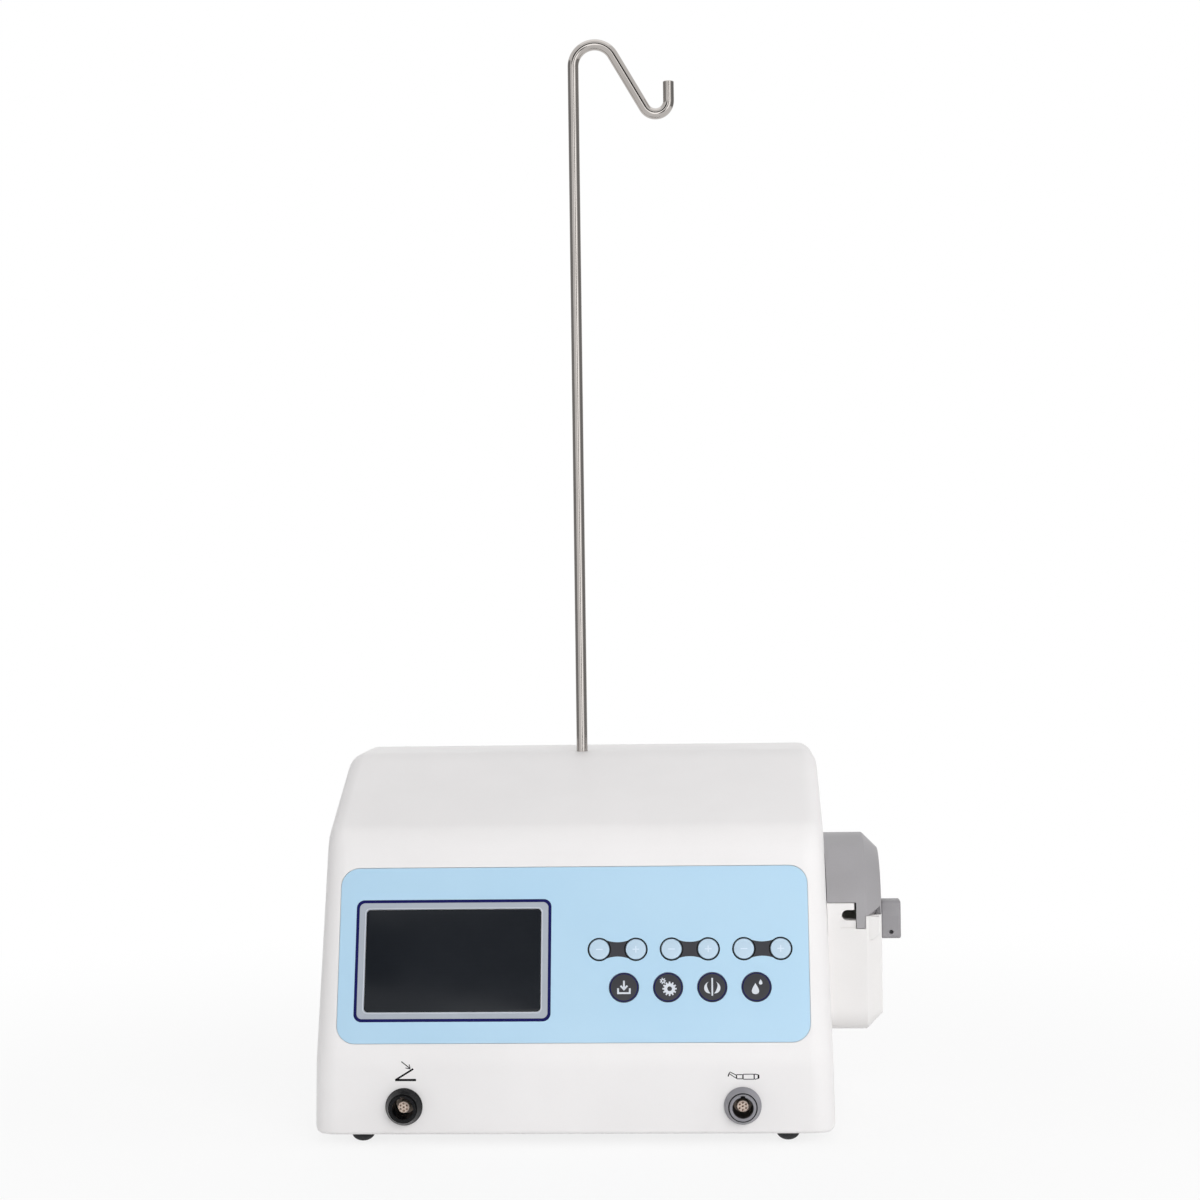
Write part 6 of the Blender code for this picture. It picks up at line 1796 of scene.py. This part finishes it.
    def build_fuse(self) -> Iterator[Thing]:
        """Yields the fuse drawer below the inlet, with a finger grip in its face."""
        place = self.place.moved(self.inlet.x, -self.fuse_drop, self.seat + self.flange)
        tray = rectangle(*self.fuse, self.fuse_corner)
        drawer = Form().prism(tray, -self.fuse_depth, SEAT + self.fuse_face / 2, place)
        lip = rectangle(*self.fuse, self.fuse_face_corner, grow=self.fuse_margin)
        front = Form().prism(lip, SEAT, SEAT + self.fuse_face, place, (0, self.fuse_face_ease))
        dip = rectangle(*self.grip, (0, self.grip_rise))
        grip = Form().prism(dip, self.grip_floor, 2 * OVERRUN, place)
        piece = carve("fuse_tray", drawer, (Cut.ADD, front), (Cut.REMOVE, grip))
        yield dress(piece, BLACK_NYLON, "fuse_drawer", body="fuse_drawer")

    def build_switch(self) -> Iterator[Thing]:
        """Yields the switch's frame, and the rocker with a line and a ring on its two ends."""
        face = self.seat + self.flange
        half, proud, tilt = self.rocker_length / 2, self.rocker_proud, self.rocker_tilt
        sweep = half * math.cos(tilt) + proud * math.sin(tilt) + SEAT
        opening = rectangle(self.rocker_width + 2 * SEAT, 2 * sweep, self.well_corner, (self.switch.x, 0))
        well = Form().prism(opening, face - self.well_depth, face + OVERRUN, self.place)
        pivot = self.place.moved(self.switch.x, 0, face - self.pivot_depth).origin
        across = Lie.TO_RIGHT.at(*pivot)
        wide = self.rocker_width / 2
        reach = wide + self.pivot_length
        bore = Form().rod(self.pivot_pin + SEAT, -reach - SEAT, reach + SEAT, across, SMALL_SIDES)
        flange, stem = self.fitting_forms(self.switch)
        frame_steps = ((Cut.ADD, stem), (Cut.REMOVE, well), (Cut.REMOVE, bore))
        yield dress(carve("switch_bezel", flange, *frame_steps), BLACK_NYLON, "switch_frame")
        right, upright, outwards = np.array(self.place.axes, float)
        up = tuple(math.cos(tilt) * upright + math.sin(tilt) * outwards)
        out = tuple(math.cos(tilt) * outwards - math.sin(tilt) * upright)
        keel, deep = self.keel_length / 2, -self.rocker_keel
        share = np.linspace(1, -1, 21)
        dish = np.stack([half * share, proud - self.rocker_hollow * (1 - share**2)], -1)
        outline = np.vstack([((-half, 0), (-keel, deep), (keel, deep), (half, 0)), dish])
        side = Place(pivot, (up, out, tuple(right)))
        rocker = Form().prism(outline, -wide, wide, side, (self.rocker_ease, self.rocker_ease))
        pins = Form().rod(self.pivot_pin, -reach, reach, across, SMALL_SIDES)
        cap = carve("rocker_cap", rocker, (Cut.ADD, pins))
        yield dress(cap, BLACK_NYLON, "power_rocker", body="power_rocker")
        facing = Place(pivot, (tuple(right), up, out))

        def on_rocker(points: Array) -> Array:
            """Takes flat points and heights to the rocker's hollow face."""
            lift = proud - self.rocker_hollow * (1 - (points[..., 1:2] / half) ** 2) + points[..., 2:]
            return facing.put(raised(points[..., :2], lift))

        layer = Layer(*self.mark_heights, on_rocker)
        line = np.stack([np.zeros(7), np.linspace(*self.line_mark, 7)], -1)
        outer, inner = (circle(radius, (0, -self.ring_drop), 40) for radius in self.ring_mark)
        marks = Form().pen(line, self.line_width, layer).band(outer, inner, layer)
        yield dress(marks.thing("rocker_marks"), SILVER_INK, body="power_rocker")


@dataclass(frozen=True)
class Housing(Assembly):
    """The white shell with its cavity, its pocket and every hole."""

    shell: Shell
    panel: Panel
    sockets: Sockets
    rear: Rear
    pump: Pump
    pole: Pole

    def build(self) -> Iterator[Thing]:
        """Yields the shell, cut for what sits in it and passes through it."""
        shell, panel, rear, pump = self.shell, self.panel, self.rear, self.pump
        through = (-shell.wall - OVERRUN, OVERRUN)
        holes = Form().prism(panel.film_outline(SEAT), -panel.film - SEAT, OVERRUN, panel.place)
        holes.prism(rear.opening, *through, rear.place)
        for spot in rear.screw_spots():
            holes.rod(rear.screw_hole, *through, rear.place.moved(*spot), SMALL_SIDES)
        for side in (-1, 1):
            holes.rod(self.sockets.barrel + SEAT, *through, self.sockets.place(side))
        holes.rod(self.pole.radius + SEAT, *through, Lie.UPRIGHT.at(0, self.pole.y, shell.top))
        shaft = Lie.TO_RIGHT.at(float(shell.half_at(pump.z)), pump.y, pump.z)
        holes.rod(pump.shaft_hole, *through, shaft)
        window = Form().prism(panel.window_outline(-panel.ledge), *through, panel.place)
        for key in panel.keys():
            window.rod(key.radius + SEAT, *through, panel.place.moved(key.x, key.s))
        cavity = Form().rows(shell.sections(shell.wall, shell.bottom))
        cuts = ((Cut.REMOVE, cavity), (Cut.REMOVE, holes), (Cut.REMOVE, window))
        piece = carve("white_housing", Form().rows(shell.sections(0)), *cuts)
        yield dress(piece, WHITE_ABS, "upper_housing")


@dataclass(frozen=True)
class Fixings(Assembly):
    """Feet, base plate and cross-head screws."""

    shell: Shell
    rear: Rear
    foot: float = 0.0061
    dome: float = 0.0044
    stem: float = 0.0022
    foot_x: float = 0.1128
    foot_y: Spot = (0.015, 0.175)
    base: float = 0.003
    screw: float = 0.0015
    screw_point: Spot = (0.0004, 0.001)
    head: float = 0.0028
    head_height: float = 0.0016
    head_flat: float = 0.55
    head_side: float = 0.35
    cross_width: float = 0.0007
    cross_corner: float = 0.0002
    cross_depth: float = 0.0009
    screw_x: float = 0.128
    screw_y: Spot = (0.032, 0.163)
    base_length: float = 0.012
    panel_length: float = 0.010

    def build(self) -> Iterator[Thing]:
        """Yields the domed feet, the screws and the base plate."""
        shoulder = self.shell.bottom - SEAT
        share = np.linspace(0, QUARTER, 16)
        bulge = np.stack([self.foot * np.sin(share), self.dome * (1 - np.cos(share))], -1)
        neck = ((self.foot, shoulder), (self.stem, shoulder))
        stem = ((self.stem, shoulder + self.base), (0, shoulder + self.base))
        profile = np.vstack([bulge, neck, stem])
        for end, row in enumerate(("front", "rear")):
            for side, column in ((-1, "left"), (1, "right")):
                name = f"{row}_{column}"
                stand = Lie.UPRIGHT.at(side * self.foot_x, self.foot_y[end])
                foot = Form().turned(profile, stand, MIDDLE_SIDES)
                yield dress(foot.thing(f"rubber_foot_{name}"), RUBBER, f"foot_{name}")
                height = self.shell.bottom + self.head_height
                seat = Lie.UPSIDE_DOWN.at(side * self.screw_x, self.screw_y[end], height)
                yield self.build_screw(f"base_screw_{name}", seat, self.base_length)
        for number, spot in enumerate(self.rear.screw_spots(), start=1):
            seat = self.rear.place.moved(*spot, self.rear.seat)
            yield self.build_screw(f"panel_screw_{number}", seat, self.panel_length)
        yield from repaint(WHITE_ABS, "base_plate")

    def build_screw(self, node: str, place: Place, length: float) -> Thing:
        """Turns a pan-head screw, whose head is a quarter ellipse, and sinks a cross into it.

        Args:
            node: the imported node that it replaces.
            place: its seat, with Z out of the head.
            length: of its shank.

        Returns:
            The screw.
        """
        head, height = self.head, self.head_height
        dome = np.linspace(0, QUARTER, 8)
        out = self.head_flat + (1 - self.head_flat) * np.sin(dome)
        up = self.head_side + (1 - self.head_side) * np.cos(dome)
        tip, taper = self.screw_point
        shank = ((head, 0), (self.screw, 0), (self.screw, taper - length), (tip, -length), (0, -length))
        profile = np.vstack([((0, height),), np.stack([head * out, height * up], -1), shank])
        wing, thin = 2 * self.head_flat * head, self.cross_width
        ends = (height - self.cross_depth, height + OVERLAP)
        bars = [rectangle(*size, self.cross_corner) for size in ((wing, thin), (thin, wing))]
        cuts = [(Cut.REMOVE, Form().prism(bar, *ends, place)) for bar in bars]
        screw = carve(node + "_cross", Form().turned(profile, place, SMALL_SIDES), *cuts)
        return dress(screw, PLATED, node)


class Inside(Assembly):
    """What the shell hides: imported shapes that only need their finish."""

    finishes = {
        BOARD: ("key_board", "main_board"),
        ALUMINIUM: ("display_module", "power_supply", "pump_motor", "pole_socket"),
        PLATED: ("pedal_socket_nut", "motor_socket_nut"),
        PALE_NYLON: ("pole_bush",),
        FLAT_CABLE: ("display_ribbon",),
        GREY_LEAD: ("motor_lead",),
    }

    def build(self) -> Iterator[Thing]:
        """Yields each hidden node with its finish."""
        for finish, nodes in self.finishes.items():
            yield from repaint(finish, *nodes)


@dataclass(frozen=True)
class Lamp:
    """A soft box: its place, its size, its power in watts and whether mirrors see it."""

    name: str
    place: Point
    size: Spot
    power: float
    glossy: bool = False


@dataclass(frozen=True)
class Card:
    """An upright card that only shiny surfaces see: its middle, its size and how bright it looks."""

    name: str
    place: Point
    size: Spot
    glow: float


def pose(right: Array, up: Array, out: Array, place: Array) -> Matrix:
    """The matrix of an object at a place, with its own axes and the place as its columns."""
    return Matrix([*np.stack([right, up, out, place], 1).tolist(), [0, 0, 0, 1]])


@dataclass(frozen=True)
class Studio:
    """Camera, lamps, cards, floor and background."""

    eye: Point = (0.08199, -1.3, 0.29234)
    yaw: float = math.radians(-2.8285)
    pitch: float = math.radians(0.2704)
    roll: float = math.radians(-0.7637)
    focal_px: float = 2485.6
    frame_px: float = 1200.0
    sensor_mm: float = 36.0
    ambient: float = 0.38
    aim: Point = (0.0, 0.0, 0.16)
    lamps: tuple[Lamp, ...] = (
        Lamp("key", (0.7, -1.95, 1.0), (1.6, 1.2), 24.1),
        Lamp("top", (0.0, 0.3, 2.0), (1.6, 1.6), 3.5, True),
        Lamp("back", (-0.4, 2.4, 0.65), (1.6, 1.2), 25.0),
        Lamp("left", (-2.1, -0.5, 0.9), (1.2, 1.2), 6.2),
        Lamp("right", (2.1, -0.5, 0.9), (1.2, 1.2), 9.5),
    )
    cards: tuple[Card, ...] = (
        Card("front_card", (0.0, -4.0, 2.5), (6.0, 1.5), 0.03),
        Card("left_card", (-2.4, 0.3, 0.5), (4.2, 2.4), 0.32),
        Card("right_card", (2.4, 0.3, 0.5), (4.2, 2.4), 0.30),
        Card("dark_strip", (0.43, -2.2, 0.6), (0.5, 1.2), 0.01),
        Card("bright_card", (0.7, -2.5, 0.6), (2.2, 1.2), 2.0),
    )
    floor_radius: float = 12.0
    floor_colour: str = "F4F4F4"
    fade_from: float = 0.15
    fade_to: float = 0.8
    fade_least: float = 0.82

    def build_camera(self) -> None:
        """The photograph's camera: yaw, pitch and roll turn it, and its focal length is in pixels."""
        level = math.cos(self.pitch)
        forward = np.array((math.sin(self.yaw) * level, math.cos(self.yaw) * level, -math.sin(self.pitch)))
        right = np.array((math.cos(self.yaw), -math.sin(self.yaw), 0))
        up = np.cross(right, forward)
        turned = right * math.cos(self.roll) + up * math.sin(self.roll)
        upward = up * math.cos(self.roll) - right * math.sin(self.roll)
        data = bpy.data.cameras.new("photo_camera")
        data.sensor_width = self.sensor_mm
        data.lens = self.focal_px / self.frame_px * self.sensor_mm
        camera = show("photo_camera", data)
        camera.matrix_world = pose(turned, upward, -forward, np.array(self.eye) + SHIFT)
        bpy.context.scene.camera = camera

    def build_lamps(self) -> None:
        """Soft boxes that face the console."""
        for lamp in self.lamps:
            data = bpy.data.lights.new(lamp.name, "AREA")
            data.shape = "RECTANGLE"
            data.size, data.size_y = lamp.size
            data.energy = lamp.power
            thing = show(lamp.name, data)
            out = unit(np.array(lamp.place) - np.array(self.aim))
            side = unit(np.cross((0, 1e-6, 1), out))
            thing.matrix_world = pose(side, np.cross(out, side), out, np.array(lamp.place))
            thing.visible_glossy = lamp.glossy

    def build_cards(self) -> None:
        """Cards that give steel and acrylic something to reflect."""
        for card in self.cards:
            out = unit(np.array((self.aim[0] - card.place[0], self.aim[1] - card.place[1], 0)))
            flat = SQUARE * np.array(card.size)
            across = flat[:, :1] * np.cross((0, 0, 1), out)
            corners = np.array(card.place) + across + flat[:, 1:] * (0, 0, 1)
            mesh = bpy.data.meshes.new(card.name)
            mesh.from_pydata(corners.tolist(), [], [(0, 1, 2, 3)])
            thing = show(card.name, mesh)
            thing.visible_camera = thing.visible_diffuse = thing.visible_shadow = False
            made = bpy.data.materials.new(card.name)
            made.use_nodes = True
            made.node_tree.nodes.clear()
            glow = add_node(made.node_tree, "Emission", {"Strength": card.glow}).outputs[0]
            add_node(made.node_tree, "OutputMaterial", {"Surface": glow})
            mesh.materials.append(made)

    def seen(self, tree: Tree) -> Socket:
        """Tells what the eye, a mirror or a glass sees from what only lights the object.

        Args:
            tree: the tree that asks.

        Returns:
            One where something looks at the surface, and zero for its light.
        """
        rays = add_node(tree, "LightPath").outputs
        direct = {0: rays["Is Camera Ray"], 1: rays["Is Glossy Ray"]}
        first = add_node(tree, "Math", direct, operation="MAXIMUM").outputs[0]
        glass = {0: first, 1: rays["Is Transmission Ray"]}
        return add_node(tree, "Math", glass, operation="MAXIMUM").outputs[0]

    def build_world(self) -> None:
        """An even light all round, seen as plain white."""
        world = bpy.data.worlds.new("studio")
        world.use_nodes = True
        bpy.context.scene.world = world
        tree = world.node_tree
        back = tree.nodes["Background"]
        back.inputs["Color"].default_value = (1, 1, 1, 1)
        span = {"Value": self.seen(tree), "To Min": self.ambient, "To Max": 1.0}
        level = add_node(tree, "MapRange", span)
        tree.links.new(level.outputs["Result"], back.inputs["Strength"])

    def build_floor(self) -> None:
        """A round pale floor that keeps the soft shadow near the console and fades into the white."""
        mesh = bpy.data.meshes.new("studio_floor")
        rim = raised(circle(self.floor_radius, count=FINE_SIDES), 0.0)
        mesh.from_pydata(rim.tolist(), [], [list(range(FINE_SIDES))])
        made = bpy.data.materials.new("pale_floor")
        made.use_nodes = True
        tree = made.node_tree
        tree.nodes.clear()
        spot = add_node(tree, "TexCoord").outputs["Object"]
        away = add_node(tree, "VectorMath", {0: spot}, operation="LENGTH").outputs["Value"]
        span = {"Value": away, "From Min": self.fade_from, "From Max": self.fade_to}
        span["To Min"] = self.fade_least
        fade = add_node(tree, "MapRange", span, interpolation_type="SMOOTHSTEP").outputs["Result"]
        both = {0: fade, 1: self.seen(tree)}
        share = add_node(tree, "Math", both, operation="MULTIPLY").outputs[0]
        matt = add_node(tree, "BsdfDiffuse", {"Color": linear(self.floor_colour)}).outputs[0]
        glow = add_node(tree, "Emission", {"Color": (1, 1, 1, 1), "Strength": 1.0}).outputs[0]
        mixed = add_node(tree, "MixShader", {0: share, 1: matt, 2: glow}).outputs[0]
        add_node(tree, "OutputMaterial", {"Surface": mixed})
        mesh.materials.append(made)
        show("studio_floor", mesh)

    def build(self) -> None:
        """Sets up the whole studio."""
        bpy.context.scene.view_settings.view_transform = "Standard"
        self.build_camera()
        self.build_lamps()
        self.build_cards()
        self.build_world()
        self.build_floor()


def main() -> None:
    """Builds the studio and every sub-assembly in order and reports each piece."""
    logging.basicConfig(level=logging.INFO, format="%(name)s: %(message)s")
    Studio().build()
    shell, sockets, pole = Shell(), Sockets(), Pole()
    panel, rear, pump = Panel(shell), Rear(shell), Pump(shell)
    front = (Housing(shell, panel, sockets, rear, pump, pole), Signs(shell), panel, sockets, pole)
    works = (pump, Latch(pump), Drive(pump), rear, Fixings(shell, rear), Inside())
    for assembly in front + works:
        for piece in assembly.build():
            finish, faces = piece.active_material.name, len(piece.data.polygons)
            log.info("%s %s: %s, %d faces", type(assembly).__name__, piece.name, finish, faces)
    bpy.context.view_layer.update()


if __name__ == "__main__":
    main()
